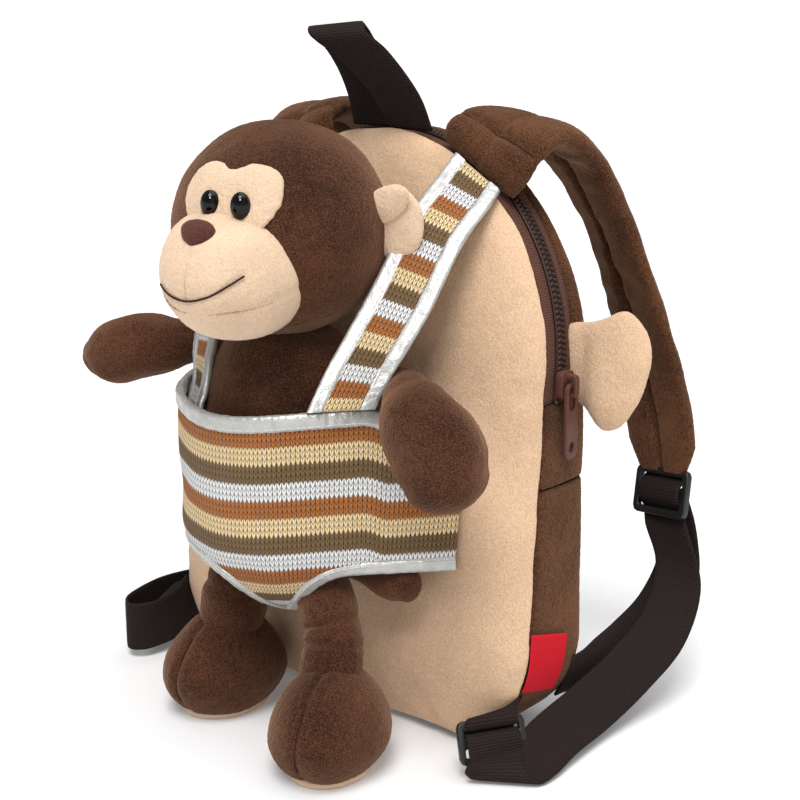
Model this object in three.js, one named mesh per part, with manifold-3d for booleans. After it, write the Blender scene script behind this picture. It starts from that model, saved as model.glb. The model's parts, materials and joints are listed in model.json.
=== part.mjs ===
// A toddler's plush backpack with a soft monkey held in a knitted harness on its front.
// Millimetres, +Z up, the front faces -Y, the origin is on the ground under the bag's middle.
import * as THREE from "three";
import { mergeVertices } from "three/addons/utils/BufferGeometryUtils.js";
import Module from "manifold-3d";

const wasm = await Module();
wasm.setup();

// Driving dimensions
const gap = 0.35; // clearance between pieces that are sewn or rest together
const bag = {
  height: 265,
  halfWidth: 110,
  archRadius: 103,
  cornerRadius: 45,
  seamYBottom: -34, // the front seam leans back as it rises
  seamYTop: 5,
  depthBottom: 52,
  depthTop: 27,
  plushWall: 2.5,
  panelWall: 3,
  panelBulge: 18,
  backBulge: 5,
};
// Strips of the zip, as distances behind the front seam
const zip = {
  endHeight: 155,
  tapeFront: [0.5, 6.3],
  coil: [6.6, 13.2],
  tapeBack: [13.5, 18.8],
  plushFrom: 19.1,
  tapeInset: 0.8,
  tapeThick: 1,
  coilProud: 0.6,
  coilThick: 2.4,
};
const gussetSeamHeight = 118;
const webbing = { width: 25, thick: 1.5 };
const slider = {
  height: 163,
  wide: 9,
  tall: 12,
  thick: 3.5,
  corner: 2.5,
  bridge: 5.2,
  bridgeWide: 2.6,
  bridgeWire: 1.5,
  bridgeSink: 1,
};
const pull = {
  long: 34,
  wide: 8.4,
  thick: 1.8,
  corner: 3,
  barHalf: 1.1,
  windowWide: 4.4,
  windowEnd: 11,
  windowCorner: 1.6,
  axisAbove: 1.9,
  hole: { wide: 3.6, tall: 4.4, corner: 1.7, fromEnd: 5.5 },
};
const pouchSize = {
  halfWidth: 54,
  halfDepth: 51,
  centreY: -57,
  wingX: 79,
  wall: 2.2,
  rimTall: 6,
  hemTall: 5,
  bindingProud: 0.5,
};
const headPlace = { x: 0, y: -64, z: 227, yaw: THREE.MathUtils.degToRad(14.5) };
const headRadii = [47.5, 46.5, 46.5];

const colours = {
  cream: 0xe1be9b,
  brown: 0x64442f,
  darkBrown: 0x4b3028,
  face: 0xf2d3ae,
  webbing: 0x32241f,
  black: 0x17181a,
  red: 0xd31e2d,
  silver: 0xc9cacc,
  knit: 0xc9a265,
  zipMetal: 0x4a3025,
};

const group = new THREE.Group();

// Adds one named piece to the assembly
function piece(name, geometry, colour, roughness = 0.9, metalness = 0) {
  const material = new THREE.MeshStandardMaterial({ color: colour, roughness, metalness });
  const mesh = new THREE.Mesh(geometry, material);
  mesh.name = name;
  group.add(mesh);
  return mesh;
}

// Points and triangles become a geometry whose faces point outwards
function closedGeometry(points, faces) {
  let volume = 0;
  for (const [a, b, c] of faces) volume += points[a].dot(points[b].clone().cross(points[c]));
  const geometry = new THREE.BufferGeometry();
  geometry.setAttribute("position", new THREE.Float32BufferAttribute(points.flatMap((p) => p.toArray()), 3));
  geometry.setIndex(faces.flatMap(([a, b, c]) => (volume < 0 ? [a, c, b] : [a, b, c])));
  return geometry;
}

// A closed skin over rings of equal length; a ring of one point is a pole, an open end gets a flat cap
function loft(rings) {
  const points = [];
  const faces = [];
  const starts = rings.map((ring) => points.push(...ring) - ring.length);
  for (let i = 0; i + 1 < rings.length; i++) {
    const [lower, upper] = [rings[i], rings[i + 1]];
    const count = Math.max(lower.length, upper.length);
    for (let j = 0; j < count; j++) {
      const at = (ring, start, k) => start + (k % ring.length);
      const a = at(lower, starts[i], j);
      const b = at(lower, starts[i], j + 1);
      const c = at(upper, starts[i + 1], j + 1);
      const d = at(upper, starts[i + 1], j);
      if (a !== b) faces.push([a, b, c]);
      if (c !== d) faces.push([a, c, d]);
    }
  }
  const cap = (ring, start, turn) => {
    if (ring.length === 1) return;
    const centre = new THREE.Vector3();
    for (const p of ring) centre.addScaledVector(p, 1 / ring.length);
    const middle = points.push(centre) - 1;
    for (let j = 0; j < ring.length; j++) {
      const a = start + j;
      const b = start + ((j + 1) % ring.length);
      faces.push(turn ? [middle, b, a] : [middle, a, b]);
    }
  };
  cap(rings[0], starts[0], true);
  cap(rings.at(-1), starts.at(-1), false);
  return closedGeometry(points, faces);
}

// A wall of even thickness behind an open grid of points; side picks which way it goes
function wall(grid, thickness, side = 1) {
  const rows = grid.length;
  const columns = grid[0].length;
  const near = (i, last) => [Math.max(i - 1, 0), Math.min(i + 1, last)];
  const inner = grid.map((row, i) =>
    row.map((point, j) => {
      const [i0, i1] = near(i, rows - 1);
      const [j0, j1] = near(j, columns - 1);
      const along = grid[i1][j].clone().sub(grid[i0][j]);
      const across = grid[i][j1].clone().sub(grid[i][j0]);
      return point.clone().addScaledVector(along.cross(across).normalize(), -thickness * side);
    }),
  );
  return wallBetween(grid, inner);
}

// The closed wall between two open grids of equal size
function wallBetween(outer, inner) {
  const rows = outer.length;
  const columns = outer[0].length;
  const points = [...outer.flat(), ...inner.flat()];
  const faces = [];
  const front = (i, j) => i * columns + j;
  const back = (i, j) => rows * columns + i * columns + j;
  const quad = (a, b, c, d) => faces.push([a, b, c], [a, c, d]);
  for (let i = 0; i + 1 < rows; i++) {
    for (let j = 0; j + 1 < columns; j++) {
      quad(front(i, j), front(i + 1, j), front(i + 1, j + 1), front(i, j + 1));
      quad(back(i, j), back(i, j + 1), back(i + 1, j + 1), back(i + 1, j));
    }
    quad(front(i, 0), back(i, 0), back(i + 1, 0), front(i + 1, 0));
    quad(front(i, columns - 1), front(i + 1, columns - 1), back(i + 1, columns - 1), back(i, columns - 1));
  }
  for (let j = 0; j + 1 < columns; j++) {
    quad(front(0, j), front(0, j + 1), back(0, j + 1), back(0, j));
    quad(front(rows - 1, j), back(rows - 1, j), back(rows - 1, j + 1), front(rows - 1, j + 1));
  }
  return closedGeometry(points, faces);
}

// Booleans
function toSolid(geometry) {
  const bare = geometry.clone();
  for (const name of Object.keys(bare.attributes)) if (name !== "position") bare.deleteAttribute(name);
  const merged = mergeVertices(bare, 1e-4);
  return new wasm.Manifold(
    new wasm.Mesh({
      numProp: 3,
      vertProperties: new Float32Array(merged.attributes.position.array),
      triVerts: new Uint32Array(merged.index.array),
    }),
  );
}

function fromSolid(solid) {
  const mesh = solid.getMesh();
  const geometry = new THREE.BufferGeometry();
  geometry.setAttribute("position", new THREE.Float32BufferAttribute(mesh.vertProperties, 3));
  geometry.setIndex([...mesh.triVerts]);
  return geometry;
}

const largest = (solid) => solid.decompose().sort((a, b) => b.volume() - a.volume())[0];
const cut = (geometry, ...tools) =>
  fromSolid(largest(tools.reduce((solid, tool) => solid.subtract(toSolid(tool)), toSolid(geometry))));
const fuse = (...parts) => fromSolid(parts.map(toSolid).reduce((a, b) => a.add(b)));
const common = (a, b) => fromSolid(largest(toSolid(a).intersect(toSolid(b))));

// Simple soft forms
const vector = (x, y, z) => new THREE.Vector3(x, y, z);

function ellipsoid(centre, radii, grow = 0, around = 20, down = 12) {
  const geometry = new THREE.SphereGeometry(1, around, down);
  geometry.rotateX(Math.PI / 2);
  geometry.scale(...radii.map((r) => r + grow));
  return geometry.translate(...centre);
}

// A round limb through rows of place and radius, closed by poles a share of the radius beyond its ends
const tipShare = 0.45;

function limb(rows, grow = 0, sides = 12) {
  const centres = rows.map((row) => vector(row.x, row.y, row.z));
  const rings = centres.map((centre, i) => {
    const [before, after] = [centres[Math.max(i - 1, 0)], centres[Math.min(i + 1, rows.length - 1)]];
    const way = after.clone().sub(before).normalize();
    const u = way.clone().cross(Math.abs(way.z) > 0.9 ? vector(0, 1, 0) : vector(0, 0, 1)).normalize();
    const v = way.clone().cross(u);
    return Array.from({ length: sides }, (_, j) => {
      const angle = (2 * Math.PI * j) / sides;
      const radius = rows[i].radius + grow;
      const aside = centre.clone().addScaledVector(u, radius * Math.cos(angle));
      return aside.addScaledVector(v, radius * Math.sin(angle));
    });
  });
  const tip = (i, j) => {
    const reach = tipShare * rows[i].radius + grow;
    return [centres[i].clone().addScaledVector(centres[i].clone().sub(centres[j]).normalize(), reach)];
  };
  const last = rows.length - 1;
  return loft([tip(0, 1), ...rings, tip(last, last - 1)]);
}

// Rows of place and width direction, made smooth; gives frames along the way
function route(rows, steps) {
  const places = new THREE.CatmullRomCurve3(rows.map((r) => vector(...r.at)), false, "centripetal");
  const widths = new THREE.CatmullRomCurve3(rows.map((r) => vector(...r.across)), false, "centripetal");
  return Array.from({ length: steps + 1 }, (_, i) => {
    const t = i / steps;
    return { at: places.getPoint(t), across: widths.getPoint(t), t };
  });
}

function ribbon(rows, steps, width = webbing.width, thick = webbing.thick) {
  const grid = route(rows, steps).map(({ at, across }) =>
    [-width / 2, width / 2].map((offset) => at.clone().addScaledVector(across, offset)),
  );
  return wall(grid, thick);
}

const mirrored = (geometry) => {
  const copy = geometry.index ? geometry.toNonIndexed() : geometry.clone();
  copy.scale(-1, 1, 1);
  const place = copy.attributes.position;
  const [b, c] = [vector(0, 0, 0), vector(0, 0, 0)];
  for (let i = 0; i < place.count; i += 3) {
    b.fromBufferAttribute(place, i + 1);
    c.fromBufferAttribute(place, i + 2);
    place.setXYZ(i + 1, c.x, c.y, c.z);
    place.setXYZ(i + 2, b.x, b.y, b.z);
  }
  copy.deleteAttribute("normal");
  return copy;
};

function pair(name, geometry, colour, roughness) {
  piece(`${name}_right`, geometry, colour, roughness);
  piece(`${name}_left`, mirrored(geometry), colour, roughness);
}

// The bag's D-shaped outline, from the bottom middle round by the right
const archCentre = bag.height - bag.archRadius;
const flatHalf = bag.halfWidth - bag.cornerRadius;
const outline = new THREE.Path();
outline.moveTo(0, 0);
outline.lineTo(flatHalf, 0);
outline.absarc(flatHalf, bag.cornerRadius, bag.cornerRadius, -Math.PI / 2, 0, false);
outline.lineTo(bag.archRadius, archCentre);
outline.absarc(0, archCentre, bag.archRadius, 0, Math.PI, false);
outline.lineTo(-bag.halfWidth, bag.cornerRadius);
outline.absarc(-flatHalf, bag.cornerRadius, bag.cornerRadius, Math.PI, 1.5 * Math.PI, false);
outline.lineTo(0, 0);
const outlineLength = outline.getLength();

function outlineAt(t) {
  const share = ((t % 1) + 1) % 1;
  const point = outline.getPoint(share);
  const tangent = outline.getTangent(share);
  return { x: point.x, z: point.y, outX: tangent.y, outZ: -tangent.x };
}

// The share of the outline at which its right side reaches a height
function shareAtHeight(height) {
  let [low, high] = [0.05, 0.5];
  for (let i = 0; i < 40; i++) {
    const middle = (low + high) / 2;
    if (outlineAt(middle).z < height) low = middle;
    else high = middle;
  }
  return low;
}

const mix = THREE.MathUtils.lerp;
const seamY = (z) => mix(bag.seamYBottom, bag.seamYTop, z / bag.height);
const depthAt = (z) => mix(bag.depthBottom, bag.depthTop, z / bag.height);

function bagPoint(t, behindSeam, inset) {
  const o = outlineAt(t);
  return vector(o.x - o.outX * inset, seamY(o.z) + behindSeam, o.z - o.outZ * inset);
}

// A strip of the bag's side between two shares of the outline; section gives depth behind the seam and inset
function sideStrip(from, to, steps, section, thickness) {
  const grid = Array.from({ length: steps + 1 }, (_, i) => {
    const t = mix(from, to, i / steps);
    return section(depthAt(outlineAt(t).z)).map(([behind, inset]) => bagPoint(t, behind, inset));
  });
  return wall(grid, thickness, -1);
}

// The gusset is flat, then rolls in to meet the back panel; places are shares of the depth
const roll = { from: 0.8, shoulder: 0.93, shoulderInset: 3.5, inset: 11 };
const rolledEdge = (depth) => [
  [depth * roll.shoulder, roll.shoulderInset],
  [depth, roll.inset],
];
const gussetSection = (depth) => [[gap, 0], [depth * roll.from, 0], ...rolledEdge(depth)];
const stripEnd = gap / outlineLength;
const gussetSeam = shareAtHeight(gussetSeamHeight);
const zipEnd = shareAtHeight(zip.endHeight);

// A panel's face rises quickly from its edge, then stays nearly flat
const riseShape = { flatness: 5, roundness: 0.6 };
function panelRise(share, bulge) {
  const inside = 1 - Math.max(share, 0) ** riseShape.flatness;
  return bulge * inside ** riseShape.roundness;
}
const panelMiddle = { x: 0, z: 125 };
const panelShares = [0.999, 0.985, 0.93, 0.78, 0.45];

function panel(inset, placeY, turn, bulge, thickness, sides) {
  const ring = (share, y) =>
    Array.from({ length: sides }, (_, i) => {
      const o = outlineAt(i / sides);
      const x = mix(panelMiddle.x, o.x - o.outX * inset, share);
      const z = mix(panelMiddle.z, o.z - o.outZ * inset, share);
      return vector(x, y(z), z);
    });
  const face = (share) => ring(share, (z) => placeY(z) + turn * panelRise(share, bulge));
  const lining = (share) => ring(share, (z) => placeY(z) + turn * (panelRise(share, bulge) - thickness));
  const pole = (y) => [vector(panelMiddle.x, y, panelMiddle.z)];
  const inside = panelShares.slice(1).map((share) => share - thickness / bag.halfWidth / 2);
  return loft([
    pole(placeY(panelMiddle.z) + turn * bulge),
    ...panelShares.toReversed().map(face),
    ring(panelShares[0] - thickness / bag.halfWidth, placeY),
    ...inside.map(lining),
    pole(placeY(panelMiddle.z) + turn * (bulge - thickness)),
  ]);
}

// How far forward the front panel's face lies at a place on it
function panelFrontY(x, z) {
  const samples = 400;
  const angle = Math.atan2(z - panelMiddle.z, x - panelMiddle.x);
  const reach = Math.hypot(x - panelMiddle.x, z - panelMiddle.z);
  let best = Infinity;
  let edge = 1;
  for (let i = 0; i < samples; i++) {
    const o = outlineAt(i / samples);
    const off = Math.abs(Math.atan2(o.z - panelMiddle.z, o.x - panelMiddle.x) - angle);
    if (off < best) [best, edge] = [off, Math.hypot(o.x - panelMiddle.x, o.z - panelMiddle.z)];
  }
  return seamY(z) - panelRise(reach / edge, bag.panelBulge);
}

const backY = (z) => seamY(z) + depthAt(z);
const backInset = roll.inset + gap;
piece("front_panel", panel(0, seamY, -1, bag.panelBulge, bag.panelWall, 34), colours.cream);
piece("back_panel", panel(backInset, backY, 1, bag.backBulge, bag.panelWall, 24), colours.brown);
piece("gusset_bottom", sideStrip(-gussetSeam, gussetSeam, 28, gussetSection, bag.plushWall), colours.brown);
pair(
  "gusset_side",
  sideStrip(gussetSeam + stripEnd, zipEnd - stripEnd, 3, gussetSection, bag.plushWall),
  colours.brown,
);
const upperSection = (depth) => [
  [zip.plushFrom, 0],
  [Math.max(depth * roll.from, zip.plushFrom + 1), 0],
  ...rolledEdge(depth),
];
const bandSection = ([from, to], inset) => () => [
  [from, inset],
  [to, inset],
];
const arch = (section, thickness) => sideStrip(zipEnd, 1 - zipEnd, 22, section, thickness);
const tape = (edges) => arch(bandSection(edges, zip.tapeInset), zip.tapeThick);
piece("gusset_upper", arch(upperSection, bag.plushWall), colours.brown);
piece("zip_tape_front", tape(zip.tapeFront), colours.webbing);
piece("zip_tape_back", tape(zip.tapeBack), colours.webbing);
piece("zip_coil", arch(bandSection(zip.coil, -zip.coilProud), zip.coilThick), colours.webbing, 0.5);

// Zip slider with its bridge, and the pull that swings on it
const sliderPlace = {
  x: outlineAt(shareAtHeight(slider.height)).x + zip.coilProud + gap,
  y: seamY(slider.height) + (zip.coil[0] + zip.coil[1]) / 2,
  z: slider.height,
};

function rectangle(width, height) {
  const shape = new THREE.Shape();
  shape.moveTo(-width / 2, -height / 2);
  shape.lineTo(width / 2, -height / 2);
  shape.lineTo(width / 2, height / 2);
  shape.lineTo(-width / 2, height / 2);
  shape.closePath();
  return shape;
}

// A rectangle with round corners, as a shape or a hole
function roundedRectangle(width, height, radius, middleY = 0, kind = THREE.Shape) {
  const shape = new kind();
  const [x, y] = [width / 2 - radius, height / 2 - radius];
  shape.absarc(x, middleY - y, radius, -Math.PI / 2, 0, false);
  shape.absarc(x, middleY + y, radius, 0, Math.PI / 2, false);
  shape.absarc(-x, middleY + y, radius, Math.PI / 2, Math.PI, false);
  shape.absarc(-x, middleY - y, radius, Math.PI, 1.5 * Math.PI, false);
  shape.closePath();
  return shape;
}

const extrude = (shape, depth, curveSegments = 3) =>
  new THREE.ExtrudeGeometry(shape, { depth, bevelEnabled: false, curveSegments });

// Turns a plate drawn in X-Y, extruded along Z, to lie on the bag's right side: X to Y, Y to Z, Z to X
const ontoSide = (geometry) =>
  geometry.applyMatrix4(new THREE.Matrix4().makeBasis(vector(0, 1, 0), vector(0, 0, 1), vector(1, 0, 0)));

function zipSlider() {
  const plate = ontoSide(extrude(roundedRectangle(slider.wide, slider.tall, slider.corner), slider.thick));
  const foot = slider.tall / 2 - slider.bridgeSink;
  const [top, shoulder, flat] = [slider.bridge, slider.bridge * 0.6, foot * 0.4];
  const shape = new THREE.Shape();
  shape.moveTo(-foot, -slider.bridgeSink);
  shape.lineTo(-foot, shoulder);
  shape.quadraticCurveTo(-foot, top, -flat, top);
  shape.lineTo(flat, top);
  shape.quadraticCurveTo(foot, top, foot, shoulder);
  shape.lineTo(foot, -slider.bridgeSink);
  shape.closePath();
  const inside = rectangle(2 * (foot - slider.bridgeWire), 2 * (slider.bridge - slider.bridgeWire));
  const solidArch = extrude(shape, slider.bridgeWide, 4).translate(0, 0, -slider.bridgeWide / 2);
  const hole = extrude(inside, 2 * slider.bridgeWide).translate(0, 0, -slider.bridgeWide);
  const upright = new THREE.Matrix4().makeBasis(vector(0, 0, 1), vector(1, 0, 0), vector(0, 1, 0));
  const bridge = cut(solidArch, hole).applyMatrix4(upright).translate(slider.thick, 0, 0);
  return fuse(plate, bridge);
}

function zipPull() {
  const { hole } = pull;
  const shape = roundedRectangle(pull.wide, pull.long, pull.corner, pull.barHalf - pull.long / 2);
  const windowTall = pull.windowEnd - pull.barHalf;
  const windowMiddle = -(pull.windowEnd + pull.barHalf) / 2;
  const holeMiddle = pull.barHalf - pull.long + hole.fromEnd;
  shape.holes.push(
    roundedRectangle(pull.windowWide, windowTall, pull.windowCorner, windowMiddle, THREE.Path),
    roundedRectangle(hole.wide, hole.tall, hole.corner, holeMiddle, THREE.Path),
  );
  return ontoSide(extrude(shape, pull.thick, 2)).translate(-pull.thick / 2, 0, 0);
}

const setAtSlider = (mesh, out) => mesh.position.set(sliderPlace.x + out, sliderPlace.y, sliderPlace.z);
setAtSlider(piece("zip_slider", zipSlider(), colours.zipMetal, 0.4, 0.6), 0);
setAtSlider(piece("zip_pull", zipPull(), colours.zipMetal, 0.4, 0.6), slider.thick + pull.axisAbove);


// Soft ears on the bag's sides, cut to sit against it
function bagBlock(grow) {
  const block = { sides: 96, front: -30, back: 60 };
  const ring = (y) =>
    Array.from({ length: block.sides }, (_, i) => {
      const o = outlineAt(i / block.sides);
      return vector(o.x + o.outX * grow, y, o.z + o.outZ * grow);
    });
  return loft([ring(block.front), ring(block.back)]);
}

const ear = { baseX: 99, y: 15, z: 167, thick: 5, puff: 2.5 };
const earOutline = [
  { out: 0, up: -12 },
  { out: 10, up: -16 },
  { out: 22, up: -25 },
  { out: 32, up: -12 },
  { out: 38, up: 6 },
  { out: 34, up: 20 },
  { out: 24, up: 29 },
  { out: 12, up: 27 },
  { out: 0, up: 20 },
];

function bagEar() {
  const shape = new THREE.Shape();
  shape.moveTo(earOutline[0].out, earOutline[0].up);
  shape.splineThru(earOutline.slice(1).map(({ out, up }) => new THREE.Vector2(out, up)));
  shape.closePath();
  const geometry = new THREE.ExtrudeGeometry(shape, {
    depth: ear.thick,
    bevelThickness: ear.puff,
    bevelSize: ear.puff,
    bevelOffset: -ear.puff,
    bevelSegments: 2,
    curveSegments: 2,
  });
  geometry.rotateX(Math.PI / 2).translate(ear.baseX, ear.y + ear.thick / 2, ear.z);
  return cut(geometry, bagBlock(gap));
}
pair("bag_ear", bagEar(), colours.cream);

// Bare red tag sewn into the front seam, lying back over the gusset
const label = { low: 31, high: 57, long: 24, thick: 0.8 };
const labelFace = bandSection([gap, label.long], -gap - label.thick);
const labelEnds = [shareAtHeight(label.low), shareAtHeight(label.high)];
piece("seam_label", sideStrip(...labelEnds, 3, labelFace, label.thick), colours.red);

// Grab loop: two legs side by side in the seam, leaning forward
const loopRows = [
  { at: [13, 6.2, 264.9], across: [1, 0, 0] },
  { at: [11, -2, 280], across: [0.97, 0.2, 0] },
  { at: [4, -17, 299], across: [0.88, 0.42, 0.08] },
  { at: [-2, -25.5, 307.5], across: [0.85, 0.5, 0.1] },
  { at: [-6, -23, 311], across: [0.85, 0.5, 0.1] },
  { at: [-9, -15, 307], across: [0.86, 0.48, 0.1] },
  { at: [-11, -2, 294], across: [0.92, 0.35, 0.05] },
  { at: [-13, 6.8, 279], across: [0.98, 0.15, 0] },
  { at: [-13, 9.5, 264.9], across: [1, 0, 0] },
];
piece("grab_loop", ribbon(loopRows, 22), colours.webbing);

// Padded shoulder straps: place, width direction, width and thickness of each section
const strapRows = [
  { at: [53.2, 3.8, 250.8], across: [0.86, 0, -0.51], wide: 46, thick: 4 },
  { at: [57.5, 4.5, 257.5], across: [0.88, -0.02, -0.47], wide: 50, thick: 8 },
  { at: [60, 13, 265], across: [0.93, -0.1, -0.3], wide: 52, thick: 11 },
  { at: [61.5, 31, 267.5], across: [0.96, -0.2, -0.12], wide: 52, thick: 12 },
  { at: [65, 53, 256], across: [0.93, -0.34, -0.08], wide: 51, thick: 12 },
  { at: [71.5, 72, 230], across: [0.87, -0.47, -0.02], wide: 50, thick: 12 },
  { at: [80, 82, 198], across: [0.87, -0.49, 0.05], wide: 49, thick: 11 },
  { at: [89, 87, 165], across: [0.91, -0.4, 0.08], wide: 47, thick: 11 },
  { at: [98, 88, 132], across: [0.96, -0.25, 0.1], wide: 44, thick: 10 },
  { at: [103.6, 85, 106.5], across: [0.98, -0.15, 0.1], wide: 34, thick: 5 },
];

// A flat section with round edges, in shares of half the width and half the thickness
const paddedSection = [
  [-1, 0], [-0.93, 0.7], [-0.6, 1], [0, 0.82], [0.6, 1], [0.93, 0.7],
  [1, 0], [0.93, -0.7], [0.6, -1], [0, -0.82], [-0.6, -1], [-0.93, -0.7],
];

function paddedStrap(rows, steps) {
  const sizes = (t, key) => {
    const place = t * (rows.length - 1);
    const i = Math.min(Math.floor(place), rows.length - 2);
    return mix(rows[i][key], rows[i + 1][key], place - i);
  };
  const frames = route(rows, steps);
  const rings = frames.map(({ at, across, t }, i) => {
    const way = frames[Math.min(i + 1, steps)].at.clone().sub(frames[Math.max(i - 1, 0)].at).normalize();
    const outward = across.clone().cross(way).normalize();
    const [half, puff] = [sizes(t, "wide") / 2, sizes(t, "thick") / 2];
    return paddedSection.map(([u, v]) =>
      at.clone().addScaledVector(across, u * half).addScaledVector(outward, v * puff),
    );
  });
  return loft(rings);
}
pair("shoulder_strap", paddedStrap(strapRows, 16), colours.brown);

// Plastic frames with slots for the webbing, drawn in X-Y with the slots along X
function slottedFrame({ wide, tall, thick, slotWide, slotTall, slotOffset }) {
  const corner = { frame: 3, slot: 0.8 };
  const shape = roundedRectangle(wide, tall, corner.frame);
  for (const side of [-1, 1]) {
    shape.holes.push(roundedRectangle(slotWide, slotTall, corner.slot, side * slotOffset, THREE.Path));
  }
  return extrude(shape, thick, 1).translate(0, 0, -thick / 2);
}

// The space such a frame takes, slots included, with clearance round it
function frameBlock({ wide, tall, thick }) {
  const deep = thick + 2 * gap;
  return extrude(rectangle(wide + 2 * gap, tall + 2 * gap), deep).translate(0, 0, -deep / 2);
}

// Sets a plate drawn in X-Y at a place, with its X along one direction and its Y near another
function setPlate(geometry, place, along, upward) {
  const x = vector(...along).normalize();
  const z = x.clone().cross(vector(...upward)).normalize();
  const y = z.clone().cross(x);
  return geometry.applyMatrix4(new THREE.Matrix4().makeBasis(x, y, z)).translate(...place);
}

const strapSlider = { wide: 32, tall: 23, thick: 3.5, slotWide: 26, slotTall: 5, slotOffset: 5.5 };
const triGlide = { wide: 31, tall: 19, thick: 3, slotWide: 25.6, slotTall: 4, slotOffset: 4.4 };
const sliderCentre = [105.5, 82, 94.5];
const glideCentre = [107, -48.5, 15];
const glideAlong = [0.485, 0.875, 0];
const setSlider = (geometry) => setPlate(geometry, sliderCentre, [0.98, -0.15, 0.1], [-0.15, 0.25, 0.95]);
const setGlide = (geometry) => setPlate(geometry, glideCentre, glideAlong, [-0.3, 0.165, 0.94]);
const sliderBlock = setSlider(frameBlock(strapSlider));
const glideBlock = setGlide(frameBlock(triGlide));
pair("strap_slider", setSlider(slottedFrame(strapSlider)), colours.black, 0.45);
pair("tri_glide", setGlide(slottedFrame(triGlide)), colours.black, 0.45);

// Webbing from the strap's end down to the floor, folded up to the tri-glide
const webbingRows = [
  { at: [105.2, 78.3, 93.5], across: [0.98, -0.15, 0.1] },
  { at: [110.5, 79.5, 78], across: [0.97, 0, 0] },
  { at: [119.5, 77, 58], across: [0.9, 0.2, -0.35] },
  { at: [124, 60, 38], across: [0.72, 0.3, -0.62] },
  { at: [123, 32, 24], across: [0.63, 0.31, -0.7] },
  { at: [121, 4, 15], across: [0.63, 0.31, -0.7] },
  { at: [122, -24, 11.5], across: [0.7, 0.4, -0.55] },
  { at: [122, -43, 5.5], across: [0.85, 0.5, -0.25] },
  { at: [119.5, -53, 1.7], across: [0.95, 0.6, 0] },
  { at: [117, -56.5, 4.5], across: [0.9, 0.66, 0] },
  { at: [113.5, -54.5, 9], across: [0.65, 0.76, 0] },
  { at: [110.8, -51, 14.5], across: [0.485, 0.875, 0] },
];
pair("strap_webbing", cut(ribbon(webbingRows, 26), sliderBlock, glideBlock), colours.webbing);

// The inner layer, from the strap's end to the bag's lower back corner
const anchorRows = [
  { at: [106, 86, 93], across: [0.98, -0.15, 0.1] },
  { at: [108, 91, 76], across: [0.95, 0, 0] },
  { at: [112, 89, 56], across: [0.85, 0.15, -0.35] },
  { at: [114, 70, 40], across: [0.7, 0.2, -0.6] },
  { at: [113, 46, 31], across: [0.45, 0.15, -0.85] },
  { at: [110.5, 24, 27.5], across: [0, 0.05, -1] },
  { at: [107.2, 11, 26.5], across: [-0.38, 0, -0.92] },
  { at: [106.4, 5, 26], across: [-0.42, 0, -0.906] },
];
pair("strap_anchor", cut(ribbon(anchorRows, 15), sliderBlock, bagBlock(gap)), colours.webbing);

// The tail, from the tri-glide up to the seam at the bag's lower corner
const tailRows = [
  { at: [102.8, -32.2, 20.5], across: [0.55, 0.1, 0.82] },
  { at: [103, -38.5, 22], across: [0.5, 0.6, 0.55] },
  { at: [101.6, -43, 22.5], across: [0.49, 0.82, 0.15] },
  { at: [102, -45, 20], across: [0.485, 0.875, 0] },
  { at: [104, -46.6, 13], across: [0.485, 0.875, 0] },
];
pair("strap_tail", cut(ribbon(tailRows, 10, 24), glideBlock), colours.webbing);

// Suspenders from the rim over the shoulders to the bag's top seam, bound along both edges
const suspenderRows = [
  { at: [49.4, -80, 157.2], across: [0.6, 0.8, 0] },
  { at: [51, -72, 170], across: [0.72, 0.58, -0.1] },
  { at: [56.5, -51, 200], across: [0.87, 0.3, -0.25] },
  { at: [58, -30, 228], across: [0.92, 0.2, -0.3] },
  { at: [57.5, -11, 242], across: [0.92, 0.1, -0.38] },
  { at: [57, -0.8, 249.6], across: [0.86, 0, -0.5] },
];
const suspender = { knit: 16, binding: 5.5, thick: 2, steps: 12 };
function strapBand(from, to, thick, lift = 0) {
  const frames = route(suspenderRows, suspender.steps);
  const grid = frames.map(({ at, across }, i) => {
    const [before, after] = [frames[Math.max(i - 1, 0)].at, frames[Math.min(i + 1, suspender.steps)].at];
    const way = after.clone().sub(before);
    const raised = at.clone().addScaledVector(way.cross(across).normalize(), lift);
    return [from, to].map((offset) => raised.clone().addScaledVector(across, offset));
  });
  return wall(grid, thick + lift);
}
const knitHalf = suspender.knit / 2;
const bindingEdges = [knitHalf + gap, knitHalf + gap + suspender.binding];
const suspenderReach = bindingEdges[1] + gap;
const blockRight = strapBand(-suspenderReach, suspenderReach, suspender.thick + gap, gap);
const suspenderBlocks = [blockRight, mirrored(blockRight)];
pair("suspender", strapBand(-knitHalf, knitHalf, suspender.thick), colours.knit);
pair("suspender_outer_binding", strapBand(...bindingEdges, suspender.thick), colours.silver, 0.5);
pair(
  "suspender_inner_binding",
  strapBand(-bindingEdges[1], -bindingEdges[0], suspender.thick),
  colours.silver,
  0.5,
);

// The monkey's head is modelled facing -Y and then turned a little towards the viewer's right
const headTurn = new THREE.Matrix4()
  .makeRotationZ(headPlace.yaw)
  .setPosition(headPlace.x, headPlace.y, headPlace.z);
const onHead = (geometry) => geometry.clone().applyMatrix4(headTurn);
const headForm = (grow) => ellipsoid([0, 0, 0], headRadii, grow, 20, 12);
const muzzle = { place: [-2, -30.5, -14], radii: [32.5, 37, 29] }; // leans a little to the viewer's left
const muzzleForm = (grow) => ellipsoid(muzzle.place, muzzle.radii, grow, 16, 12);
const patchThick = 1.3;

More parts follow.
